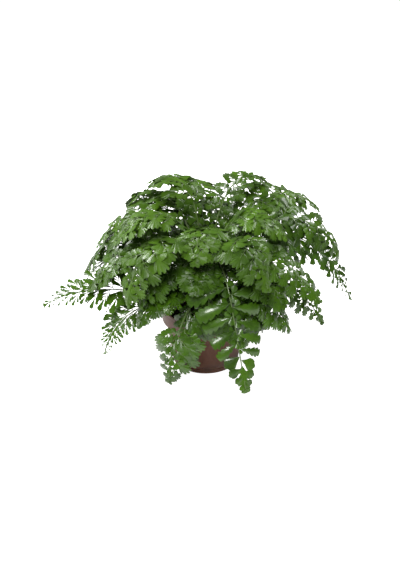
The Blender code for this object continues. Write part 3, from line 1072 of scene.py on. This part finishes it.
# Sizes of the patterns on leaf, in waves for each metre.
PATCH_WAVES = 42.0
MOTTLE_WAVES = 620.0
PORE_WAVES = 3800.0


def frond_surface_group() -> bpy.types.NodeTree:
    """Build the group for leaf and stalk: colour, roughness and relief from the veins and frond's values.

    Returns:
        The node group.
    """
    colours = ("Deep", "Fresh", "Underside", "Stalk Foot", "Stalk Tip")
    sheet, given = new_group(
        "frond_surface",
        {name: "Color" for name in colours},
        {"Colour": "Color", "Roughness": "Float", "Relief": "Float"},
    )
    place = sheet.place()
    patches = sheet.noise(place, PATCH_WAVES, 2.0)
    mottle = sheet.noise(place, MOTTLE_WAVES)
    pores = sheet.noise(place, PORE_WAVES, 2.0)
    veins = sheet.add("ShaderNodeSeparateXYZ", {0: sheet.add("ShaderNodeUVMap", uv_map="veins").outputs[0]})
    wave = sheet.sum("ABSOLUTE", sheet.sum("SINE", sheet.sum("MULTIPLY", veins.outputs[0], pi)))
    line = sheet.spread(wave, 0.0, 0.42, 1.0, 0.0)
    rib = sheet.spread(veins.outputs[1], 0.02, 0.16, 1.0, 0.0)
    vein = sheet.sum("MAXIMUM", line, rib)
    patch_share = sheet.sum("MULTIPLY", sheet.sum("SUBTRACT", patches, 0.5), 0.9)
    mottle_share = sheet.sum("MULTIPLY", sheet.sum("SUBTRACT", mottle, 0.5), 0.30)
    share = sheet.sum("ADD", sheet.attribute("tone"), sheet.sum("ADD", patch_share, mottle_share))
    green = sheet.mix(sheet.spread(share, 0.05, 0.95), given["Deep"], given["Fresh"])
    veined = sheet.mix(sheet.sum("MULTIPLY", vein, VEIN_SHARE), green, given["Underside"])
    sided = sheet.mix(sheet.attribute("under"), veined, given["Underside"])
    stalk = sheet.attribute("stalk")
    stalk_colour = sheet.mix(sheet.spread(stalk, 1.05, 1.62), given["Stalk Foot"], given["Stalk Tip"])
    colour = sheet.mix(sheet.spread(stalk, 0.4, 0.6), sided, stalk_colour)
    quilt = sheet.sum("MULTIPLY", wave, 0.75)
    relief = sheet.sum("ADD", quilt, sheet.sum("ADD", sheet.sum("MULTIPLY", mottle, 0.5), pores))
    dulled = sheet.sum("MULTIPLY", sheet.attribute("under"), UNDERSIDE_ROUGHENING)
    uneven = sheet.sum("ADD", sheet.sum("MULTIPLY", mottle, MOTTLE_ROUGHENING), dulled)
    roughness = sheet.sum("ADD", uneven, LEAF_ROUGHNESS)
    sheet.add("NodeGroupOutput", {"Colour": colour, "Roughness": roughness, "Relief": relief})
    return sheet.tree


def grit_group() -> bpy.types.NodeTree:
    """Build the group for uneven matter: two shades broken up at two sizes, with the relief to go with them.

    Returns:
        The node group.
    """
    sheet, given = new_group(
        "grit",
        {"Dark": "Color", "Light": "Color", "Coarse": "Float", "Fine": "Float", "Light Share": "Float"},
        {"Colour": "Color", "Relief": "Float"},
    )
    place = sheet.place()
    coarse = sheet.noise(place, given["Coarse"], 4.0)
    fine = sheet.noise(place, given["Fine"])
    both = sheet.sum("ADD", sheet.sum("MULTIPLY", coarse, 0.6), sheet.sum("MULTIPLY", fine, 0.4))
    share = sheet.sum("MULTIPLY", sheet.spread(both, 0.36, 0.64), given["Light Share"])
    colour = sheet.mix(share, given["Dark"], given["Light"])
    sheet.add("NodeGroupOutput", {"Colour": colour, "Relief": both})
    return sheet.tree


@dataclass(frozen=True)
class Gloss:
    """How a surface shines, set on the shader itself.

    Attributes:
        specular: Specular IOR level.
        coat: Coat weight.
        coat_roughness: Coat roughness.
        bump: Strength of the relief.
        depth: Height of the relief in metres.
    """

    specular: float
    coat: float
    coat_roughness: float
    bump: float
    depth: float

    def shader(
        self,
        sheet: NodeSheet,
        colour: Socket,
        roughness: Socket | float,
        relief: Socket,
    ) -> None:
        """Add the shader that these values and sockets feed, and the output."""
        bump = sheet.add("ShaderNodeBump", {"Strength": self.bump, "Distance": self.depth, "Height": relief})
        shader = sheet.add(
            "ShaderNodeBsdfPrincipled",
            {
                "Base Color": colour,
                "Roughness": roughness,
                "Normal": bump.outputs[0],
                "Specular IOR Level": self.specular,
                "Coat Weight": self.coat,
                "Coat Roughness": self.coat_roughness,
            },
        )
        sheet.add("ShaderNodeOutputMaterial", {"Surface": shader.outputs[0]})


def new_material(name: str) -> tuple[bpy.types.Material, NodeSheet]:
    """Return a new material with an empty sheet."""
    material = bpy.data.materials.new(name)
    material.use_nodes = True
    material.node_tree.nodes.clear()
    return material, NodeSheet(material.node_tree)


@dataclass(frozen=True)
class FrondFinish:
    """Leathery fern leaf over a stalk that is brown at its foot and green further up.

    Attributes:
        name: The material's name.
        deep: The dark green of old leaf.
        fresh: The lighter green of young leaf.
        underside: The pale green of the underside and the veins.
        stalk_foot: The stalk's colour at its foot.
        stalk_tip: The stalk's colour further up.
        coat: Weight of the clear shine over it.
    """

    name: str
    deep: Colour
    fresh: Colour
    underside: Colour
    stalk_foot: Colour = (0.040, 0.018, 0.010)
    stalk_tip: Colour = (0.125, 0.195, 0.060)
    coat: float = 0.12

    def material(self, group: bpy.types.NodeTree) -> bpy.types.Material:
        """Build the material on the frond group."""
        material, sheet = new_material(self.name)
        colours = (self.deep, self.fresh, self.underside, self.stalk_foot, self.stalk_tip)
        surface = sheet.add("ShaderNodeGroup", node_tree=group)
        for socket, colour in zip(surface.inputs, colours):
            socket.default_value = (*colour, 1.0)
        out = surface.outputs
        gloss = Gloss(specular=0.24, coat=self.coat, coat_roughness=0.17, bump=0.36, depth=0.00018)
        gloss.shader(sheet, out["Colour"], out["Roughness"], out["Relief"])
        return material


@dataclass(frozen=True)
class GritFinish:
    """Uneven matter in two shades: peat mix or dry scales.

    Attributes:
        name: The material's name.
        dark: The darker shade.
        light: The lighter shade.
        coarse: Larger pattern, in waves for each metre.
        fine: Smaller pattern, in waves for each metre.
        light_share: Most of the lighter shade that shows.
        roughness: Roughness.
        gloss: How it shines.
    """

    name: str
    dark: Colour
    light: Colour
    coarse: float
    fine: float
    light_share: float
    roughness: float
    gloss: Gloss

    def material(self, group: bpy.types.NodeTree) -> bpy.types.Material:
        """Build the material on the grit group."""
        material, sheet = new_material(self.name)
        surface = sheet.add(
            "ShaderNodeGroup",
            node_tree=group,
        )
        for name, value in (
            ("Dark", (*self.dark, 1.0)),
            ("Light", (*self.light, 1.0)),
            ("Coarse", self.coarse),
            ("Fine", self.fine),
            ("Light Share", self.light_share),
        ):
            surface.inputs[name].default_value = value
        self.gloss.shader(sheet, surface.outputs["Colour"], self.roughness, surface.outputs["Relief"])
        return material


@dataclass(frozen=True)
class PotFinish:
    """Brown moulded plastic with a fine grain, faint upright scuffs, and cloudy patches of darker brown near
    the rim and towards the foot.

    Attributes:
        name: The material's name.
        brown: The plastic.
        worn: Where it is scuffed.
        edge_darkening: The darker brown of the cloudy patches near the rim and towards the foot, which are
            also rougher.
        gloss: How it shines.
    """

    name: str = "pot_plastic_brown"
    brown: Colour = (0.104, 0.031, 0.010)
    worn: Colour = (0.150, 0.062, 0.034)
    edge_darkening: Colour = (0.042, 0.024, 0.014)
    gloss: Gloss = Gloss(specular=0.45, coat=0.0, coat_roughness=0.3, bump=0.30, depth=0.00012)

    def material(self) -> bpy.types.Material:
        """Build the material."""
        material, sheet = new_material(self.name)
        place = sheet.place()
        drawn = sheet.add("ShaderNodeMapping", {"Vector": place, "Scale": (1.0, 1.0, 0.10)}).outputs[0]
        scuffs = sheet.noise(drawn, 190.0, 5.0)
        clouds = sheet.noise(place, 36.0, 3.0)
        grain = sheet.noise(place, 2600.0, 2.0)
        height = sheet.add("ShaderNodeSeparateXYZ", {0: place}).outputs[2]
        # Cloudy patches of darker, rougher brown near the rim and towards the foot.
        foot = sheet.spread(height, 0.002, 0.026, 1.0, 0.0)
        rim = sheet.spread(height, 0.074, 0.085, 0.0, 1.0)
        near_edge = sheet.sum("MULTIPLY", sheet.sum("MAXIMUM", foot, rim), 0.75)
        edge_darkening_share = sheet.sum("MULTIPLY", near_edge, sheet.spread(clouds, 0.38, 0.66))
        worn = sheet.mix(sheet.spread(scuffs, 0.48, 0.74, 0.0, 0.55), (*self.brown, 1.0), (*self.worn, 1.0))
        colour = sheet.mix(edge_darkening_share, worn, (*self.edge_darkening, 1.0))
        dulled = sheet.sum("MULTIPLY", edge_darkening_share, 0.3)
        uneven = sheet.sum("ADD", sheet.sum("MULTIPLY", scuffs, 0.16), dulled)
        relief = sheet.sum("ADD", grain, sheet.sum("MULTIPLY", scuffs, 0.6))
        self.gloss.shader(sheet, colour, sheet.sum("ADD", uneven, 0.28), relief)
        return material


MATTE = Gloss(specular=0.25, coat=0.0, coat_roughness=0.5, bump=0.9, depth=0.0012)
LEAF_FINISHES = {
    "leaf_lower": FrondFinish(
        "leaf_green_deep", (0.012, 0.038, 0.0010), (0.072, 0.176, 0.005), (0.082, 0.160, 0.022), coat=0.75
    ),
    "leaf_middle": FrondFinish(
        "leaf_green_mid", (0.011, 0.034, 0.0015), (0.064, 0.150, 0.006), (0.090, 0.170, 0.028)
    ),
    "leaf_upper": FrondFinish(
        "leaf_green_fresh", (0.018, 0.048, 0.003), (0.082, 0.180, 0.010), (0.100, 0.185, 0.032)
    ),
}
PEAT_FINISH = GritFinish(
    "peat_mix", (0.012, 0.007, 0.004), (0.055, 0.033, 0.018), 260.0, 1500.0, 0.9, 0.95, MATTE
)
SCALE_FINISH = GritFinish(
    "crown_scale_brown", (0.020, 0.009, 0.004), (0.095, 0.046, 0.020), 420.0, 2400.0, 0.8, 0.70, MATTE
)


# ------------------------------------------------------------------------------------ pot, mix, crown
RING_TOLERANCE = 1e-5
CRUMB_SEED = 41
SCALE_SEED = 7


def turned(name: str, profile: list[tuple[float, float]], segments: int) -> bpy.types.Object:
    """Turn a closed solid: a disc that is extruded and resized ring by ring, then closed on the axis.

    Args:
        name: The object's name.
        profile: The radius and height of each ring. Both ends close on the axis.
        segments: Number of sides.

    Returns:
        The object.
    """
    deselect_all()
    radius, height = profile[0]
    place = (0.0, 0.0, height)
    bpy.ops.mesh.primitive_circle_add(vertices=segments, radius=radius, fill_type="TRIFAN", location=place)
    piece = bpy.context.object
    piece.name = name
    settle(piece)
    bpy.ops.object.mode_set(mode="EDIT")
    select_ring(piece, radius, height)
    for after_radius, after_height in profile[1:]:
        move = {"value": (0.0, 0.0, after_height - height)}
        bpy.ops.mesh.extrude_edges_move(TRANSFORM_OT_translate=move)
        factor = after_radius / radius
        bpy.ops.transform.resize(value=(factor, factor, 1.0))
        radius, height = after_radius, after_height
    bpy.ops.mesh.extrude_edges_move()
    bpy.ops.mesh.merge(type="CENTER")
    bpy.ops.mesh.select_all(action="SELECT")
    bpy.ops.mesh.normals_make_consistent(inside=False)
    bpy.ops.object.mode_set(mode="OBJECT")
    return piece


def select_ring(piece: bpy.types.Object, radius: float, height: float) -> None:
    """Select the edges of one ring of a turned piece in edit mode.

    Args:
        piece: The object in edit mode.
        radius: The ring's radius.
        height: The ring's height.
    """
    bpy.ops.mesh.select_mode(type="EDGE")
    bpy.ops.mesh.select_all(action="DESELECT")
    shape = bmesh.from_edit_mesh(piece.data)
    for edge in shape.edges:
        off_ring = [max(abs(end.co.xy.length - radius), abs(end.co.z - height)) for end in edge.verts]
        edge.select = max(off_ring) < RING_TOLERANCE
    bmesh.update_edit_mesh(piece.data)


def smooth(piece: bpy.types.Object, angle: float = 40.0) -> None:
    """Shade a piece smooth, with its edges sharper than an angle in degrees kept."""
    choose(piece)
    bpy.ops.object.shade_smooth_by_angle(angle=radians(angle))


@dataclass
class Pot:
    """The nursery pot: foot, tapering wall, rim band with a rolled lip, and drainage holes.

    Attributes:
        height: Height of the rim.
        rim_radius: Outer radius of the lip.
        band_radius: Outer radius of the band's lower edge.
        band_bottom: Height of the band's lower edge.
        wall_top_radius: Outer radius of the wall under the band.
        base_radius: Outer radius of the foot.
        wall: Wall thickness.
        floor: Thickness of the bottom.
        recess: Height of the underside between the foot ring and the centre.
        foot_width: Width of the foot ring.
        centre_radius: Radius of the flat centre.
        drains: Number of drainage holes.
        drain_radius: Radius of each hole.
        drain_circle: Distance of the holes from the axis.
        segments: Number of sides.
    """

    height: float = 0.085
    rim_radius: float = 0.060
    band_radius: float = 0.0575
    band_bottom: float = 0.062
    wall_top_radius: float = 0.0520
    base_radius: float = 0.0440
    wall: float = 0.0015
    floor: float = 0.0020
    recess: float = 0.0020
    foot_width: float = 0.0060
    centre_radius: float = 0.0130
    drains: int = 6
    drain_radius: float = 0.0040
    drain_circle: float = 0.0265
    segments: int = 128

    def outer_radius(self, height: float) -> float:
        """Return the wall's outer radius below the band."""
        share = height / self.band_bottom
        return self.base_radius + (self.wall_top_radius - self.base_radius) * share

    def profile(self) -> list[tuple[float, float]]:
        """Return the pot's section, from the centre of the underside, up the outside and down the inside."""
        foot = self.base_radius - self.foot_width
        outside = [
            (self.centre_radius, 0.0),
            (self.centre_radius + 0.0003, 0.0003),
            (self.centre_radius + 0.0005, self.recess),
            (foot - 0.0005, self.recess),
            (foot - 0.0003, 0.0003),
            (foot, 0.0),
            (self.base_radius - 0.0008, 0.0),
            (self.base_radius - 0.0002, 0.0003),
            (self.outer_radius(0.0010), 0.0010),
            (self.outer_radius(0.0060), 0.0060),
            (self.outer_radius(0.0064) - 0.0004, 0.0066),
            (self.outer_radius(0.0076) - 0.0004, 0.0076),
            (self.outer_radius(0.0080), 0.0082),
        ]
        outside += [(self.outer_radius(level / 1000), level / 1000) for level in (18, 30, 42, 54, 60)]
        neck = self.outer_radius(self.band_bottom)
        outside += [
            (neck + 0.0002, self.band_bottom - 0.0009),
            (neck + 0.0010, self.band_bottom - 0.0004),
            (self.band_radius - 0.0008, self.band_bottom - 0.0002),
            (self.band_radius - 0.0001, self.band_bottom + 0.0004),
            (self.band_radius + 0.0002, self.band_bottom + 0.0020),
        ]
        lean = (self.rim_radius - self.band_radius) / (self.height - self.band_bottom)
        for rise in (0.0060, 0.0120, 0.0165, 0.0185):
            outside.append((self.band_radius + lean * rise - 0.0002, self.band_bottom + rise))
        lip = [
            (self.rim_radius - 0.0003, self.height - 0.0036),
            (self.rim_radius, self.height - 0.0030),
            (self.rim_radius, self.height - 0.0012),
            (self.rim_radius - 0.0003, self.height - 0.0004),
            (self.rim_radius - 0.0008, self.height),
            (self.rim_radius - 0.0013, self.height - 0.0003),
            (self.rim_radius - self.wall - 0.0002, self.height - 0.0010),
        ]
        inside = [
            (self.rim_radius - self.wall - 0.0008, self.height - 0.0060),
            (self.band_radius - self.wall, self.band_bottom + 0.0006),
            (neck - self.wall, self.band_bottom - 0.0002),
            (self.base_radius - self.wall, self.recess + self.floor + 0.0004),
            (self.base_radius - self.wall - 0.0006, self.recess + self.floor),
            (0.0100, self.recess + self.floor),
        ]
        return outside + lip + inside

    def build(self, finish: bpy.types.Material) -> bpy.types.Object:
        """Turn the pot, cut its drainage holes and dress it.

        Args:
            finish: The pot's material.

        Returns:
            The pot.
        """
        pot = turned("pot_moulded", self.profile(), self.segments)
        for index in range(self.drains):
            angle = 2 * pi * (index + 0.5) / self.drains
            deselect_all()
            bpy.ops.mesh.primitive_cylinder_add(
                vertices=32,
                radius=self.drain_radius,
                depth=0.012,
                location=(self.drain_circle * cos(angle), self.drain_circle * sin(angle), self.recess),
            )
            cutter = bpy.context.object
            apply_modifier(pot, "BOOLEAN", operation="DIFFERENCE", solver="EXACT", object=cutter)
            bpy.data.objects.remove(cutter, do_unlink=True)
        smooth(pot, 34.0)
        hand_over(pot, "pot", finish)
        return pot


@dataclass
class PottingMix:
    """Peat mix that fills the pot to a shallow uneven dome, with crumbs lying on it.

    Attributes:
        top: Height of the surface at the wall.
        dome: How much higher it is near the crown.
        radius: Radius of the surface.
        crumbs: Number of loose crumbs.
    """

    top: float = 0.0740
    dome: float = 0.0035
    radius: float = 0.0568
    crumbs: int = 260

    def level(self, radius: float) -> float:
        """Return the height of the even surface at a radius."""
        return self.top + self.dome * (1.0 - (radius / self.radius) ** 2) - 0.0004

    def build(self, finish: bpy.types.Material) -> bpy.types.Object:
        """Build the filled body, roughen its surface and scatter the crumbs.

        Args:
            finish: The mix's material.

        Returns:
            The mix.
        """
        radii = [self.radius * share for share in np.linspace(0.98, 0.04, 26)]
        rings = [(radius, self.level(radius)) for radius in radii]
        profile = [(0.0120, 0.0045), (0.0418, 0.0045), (0.0500, 0.0610), (0.0555, 0.0630)] + rings
        body = turned("peat_mix_body", profile, 112)
        for vertex in body.data.vertices:
            if vertex.co.z > self.top - 0.004:
                rough = noise.fractal(vertex.co * 260.0, 1.0, 2.2, 4)
                vertex.co.z += 0.0009 * rough
        crumb = self.crumb_master()
        chance = random.Random(CRUMB_SEED)
        copies = []
        for _ in range(self.crumbs):
            distance = self.radius * sqrt(chance.uniform(0.09, 0.90))
            angle = chance.uniform(0.0, 2 * pi)
            size = chance.uniform(0.0006, 0.0019)
            copy = copied(crumb)
            height = self.level(distance) + 0.25 * size
            copy.location = (distance * cos(angle), distance * sin(angle), height)
            copy.rotation_euler = [chance.uniform(0.0, 6.28) for _ in range(3)]
            copy.scale = [size * chance.uniform(0.7, 1.3) for _ in range(3)]
            copies.append(copy)
        bpy.data.objects.remove(crumb, do_unlink=True)
        mix = joined([body] + copies)
        smooth(mix, 50.0)
        hand_over(mix, "potting_mix", finish)
        return mix

    def crumb_master(self) -> bpy.types.Object:
        """Model one crumb of peat, one unit across."""
        deselect_all()
        bpy.ops.mesh.primitive_ico_sphere_add(subdivisions=1, radius=1.0)
        crumb = bpy.context.object
        for vertex in crumb.data.vertices:
            vertex.co *= 1.0 + 0.30 * noise.noise(vertex.co * 1.7)
        return crumb


@dataclass
class Crown:
    """The rhizome's crown: a short dome wrapped in narrow brown scales that all point up and outwards.

    Attributes:
        radius: Radius of the crown.
        bottom: Height of its underside.
        rings: Number of rows of scales.
    """

    radius: float = CROWN_RADIUS
    bottom: float = 0.0683
    rings: int = 6

    def build(self, finish: bpy.types.Material) -> bpy.types.Object:
        """Build the dome and its scales.

        Args:
            finish: The scales' material.

        Returns:
            The crown.
        """
        low = 0.9 * self.radius
        shares = (1.0, 0.86, 0.66, 0.42, 0.16)
        dome = [(low * share, crown_height(self.radius * share) - 0.0010) for share in shares]
        underside = [(0.6 * low, self.bottom), (0.96 * low, self.bottom + 0.0008)]
        body = turned("crown_body", underside + dome, 40)
        scale = self.scale_master()
        chance = random.Random(SCALE_SEED)
        copies = []
        for ring in range(self.rings):
            share = (ring + 0.6) / self.rings
            count = round(6 + 22 * share)
            for index in range(count):
                angle = 2 * pi * (index + 0.5 * (ring % 2)) / count + chance.uniform(-0.1, 0.1)
                distance = low * share
                copy = copied(scale)
                height = crown_height(self.radius * share) - 0.0018
                copy.location = (distance * cos(angle), distance * sin(angle), height)
                lean = radians(78 - 56 * share + chance.uniform(-12, 12))
                copy.rotation_euler = (0.0, -lean, angle)
                size = chance.uniform(0.0034, 0.0054)
                copy.scale = (size, size * 1.1, size)
                copies.append(copy)
        bpy.data.objects.remove(scale, do_unlink=True)
        crown = joined([body] + copies)
        smooth(crown, 50.0)
        hand_over(crown, "rhizome_crown", finish)
        return crown

    def scale_master(self) -> bpy.types.Object:
        """Model one narrow pointed scale, one unit long."""
        deselect_all()
        bpy.ops.mesh.primitive_grid_add(x_subdivisions=4, y_subdivisions=2, size=2.0)
        scale = bpy.context.object
        for vertex in scale.data.vertices:
            run, side = (vertex.co.x + 1.0) * 0.5, vertex.co.y
            width = 0.17 * (1.0 - run) ** 0.7 + 0.012
            vertex.co = (run, side * width, 0.10 * run ** 2 - 0.05 * side ** 2)
        apply_modifier(scale, "SOLIDIFY", thickness=0.05, offset=0.0)
        return scale


# ---------------------------------------------------------------------------------------------- stage
FLOOR_RADIUS = 14.0
FLOOR_SIDES = 96
FLOOR_DROP = 0.0004
FLOOR_GLOW = 0.10
FLOOR_SEEN_GLOW = 0.80
ROOM_LIGHT = 0.12


@dataclass
class Stage:
    """The pale floor, the soft light and the camera.

    Attributes:
        aim: The point that the camera looks at.
        distance: Distance of the camera from it.
        elevation: Height of the view above level, in degrees.
        lens: Focal length in millimetres.
    """

    aim: tuple[float, float, float] = (-0.0075, 0.0, 0.108)
    distance: float = 0.95
    elevation: float = 28.0
    lens: float = 46.5

    def floor(self) -> None:
        """Lay the floor: a wide disc with a faint glow, and a stronger one that only the camera sees."""
        deselect_all()
        bpy.ops.mesh.primitive_circle_add(
            vertices=FLOOR_SIDES, radius=FLOOR_RADIUS, fill_type="TRIFAN", location=(0.0, 0.0, -FLOOR_DROP)
        )
        floor = bpy.context.object
        floor.name = "studio_floor"
        settle(floor)
        material, sheet = new_material("floor_white")
        tint = sheet.noise(sheet.place(), 3.0, 2.0)
        colour = sheet.mix(tint, (0.90, 0.90, 0.90, 1.0), (0.94, 0.94, 0.94, 1.0))
        shader = sheet.add("ShaderNodeBsdfPrincipled", {"Base Color": colour, "Roughness": 0.9})
        shader.inputs["Specular IOR Level"].default_value = 0.1
        shader.inputs["Emission Color"].default_value = (1.0, 1.0, 1.0, 1.0)
        shader.inputs["Emission Strength"].default_value = FLOOR_GLOW
        white = {"Color": (1.0, 1.0, 1.0, 1.0), "Strength": FLOOR_SEEN_GLOW}
        lifted = sheet.add("ShaderNodeEmission", white)
        glow = sheet.add("ShaderNodeAddShader", {0: shader.outputs[0], 1: lifted.outputs[0]})
        seen = sheet.add("ShaderNodeLightPath").outputs["Is Camera Ray"]
        both = sheet.add("ShaderNodeMixShader", {0: seen, 1: shader.outputs[0], 2: glow.outputs[0]})
        sheet.add("ShaderNodeOutputMaterial", {"Surface": both.outputs[0]})
        floor.data.materials.append(material)
        floor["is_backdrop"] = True

    def lamp(self, name: str, place: tuple[float, float, float], size: float, power: float) -> None:
        """Hang a soft square lamp that faces the plant.

        Args:
            name: The lamp's name.
            place: Where it hangs.
            size: Length of its side.
            power: Its power in watts.
        """
        data = bpy.data.lights.new(name, "AREA")
        data.shape = "SQUARE"
        data.size = size
        data.energy = power
        lamp = bpy.data.objects.new(name, data)
        lamp.location = place
        lamp.rotation_euler = (Vector(self.aim) - Vector(place)).to_track_quat("-Z", "Y").to_euler()
        bpy.context.scene.collection.objects.link(lamp)

    def light(self) -> None:
        """Set the surroundings, which look plain white to the camera, and hang the lamps."""
        world = bpy.data.worlds.new("studio")
        world.use_nodes = True
        background = world.node_tree.nodes["Background"]
        background.inputs["Color"].default_value = (1.0, 1.0, 1.0, 1.0)
        background.inputs["Strength"].default_value = ROOM_LIGHT
        sheet = NodeSheet(world.node_tree)
        backdrop = sheet.add("ShaderNodeBackground", {"Color": (1.0, 1.0, 1.0, 1.0), "Strength": 1.0})
        seen = sheet.add("ShaderNodeLightPath").outputs["Is Camera Ray"]
        both = sheet.add("ShaderNodeMixShader", {0: seen, 1: background.outputs[0], 2: backdrop.outputs[0]})
        world.node_tree.links.new(both.outputs[0], world.node_tree.nodes["World Output"].inputs["Surface"])
        bpy.context.scene.world = world
        self.lamp("key_rear_left", (-1.1, 1.0, 1.6), 0.6, 40.0)
        self.lamp("front_soft", (-0.3, -1.5, 2.0), 0.8, 44.0)
        self.lamp("rear_right", (1.2, 0.9, 1.5), 0.6, 20.0)
        self.lamp("low_left", (-1.3, 0.4, 0.45), 0.5, 4.0)
        bpy.context.scene.view_settings.view_transform = "Standard"

    def camera(self) -> None:
        """Set up the camera."""
        data = bpy.data.cameras.new("view")
        data.lens = self.lens
        data.sensor_width = 36.0
        camera = bpy.data.objects.new("view", data)
        lean = radians(self.elevation)
        back = Vector((0.0, -cos(lean), sin(lean))) * self.distance
        camera.location = Vector(self.aim) + back
        camera.rotation_euler = (radians(90.0 - self.elevation), 0.0, 0.0)
        bpy.context.scene.collection.objects.link(camera)
        bpy.context.scene.camera = camera


def write_sizes() -> None:
    """Write the frame's box and the finished model's box."""
    seen = [list(corner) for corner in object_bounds()]
    for axis, ends in enumerate(zip(*seen, *CAD_BOX)):
        sizes = [end / MILLIMETRE for end in ends]
        LOG.info("axis %d: %.1f to %.1f mm, frame %.1f to %.1f mm", axis, *sizes)


def main() -> None:
    """Build every piece in order."""
    logging.basicConfig(level=logging.INFO, format="%(message)s")
    stage = Stage()
    stage.camera()
    stage.light()
    stage.floor()
    grit = grit_group()
    Pot().build(PotFinish().material())
    PottingMix().build(PEAT_FINISH.material(grit))
    Crown().build(SCALE_FINISH.material(grit))
    surface = frond_surface_group()
    finishes = {slot: finish.material(surface) for slot, finish in LEAF_FINISHES.items()}
    foliage = Foliage()
    for frond in FRONDS:
        foliage.grow(frond, finishes[slot_of(frond.name)])
    write_sizes()


if __name__ == "__main__":
    main()
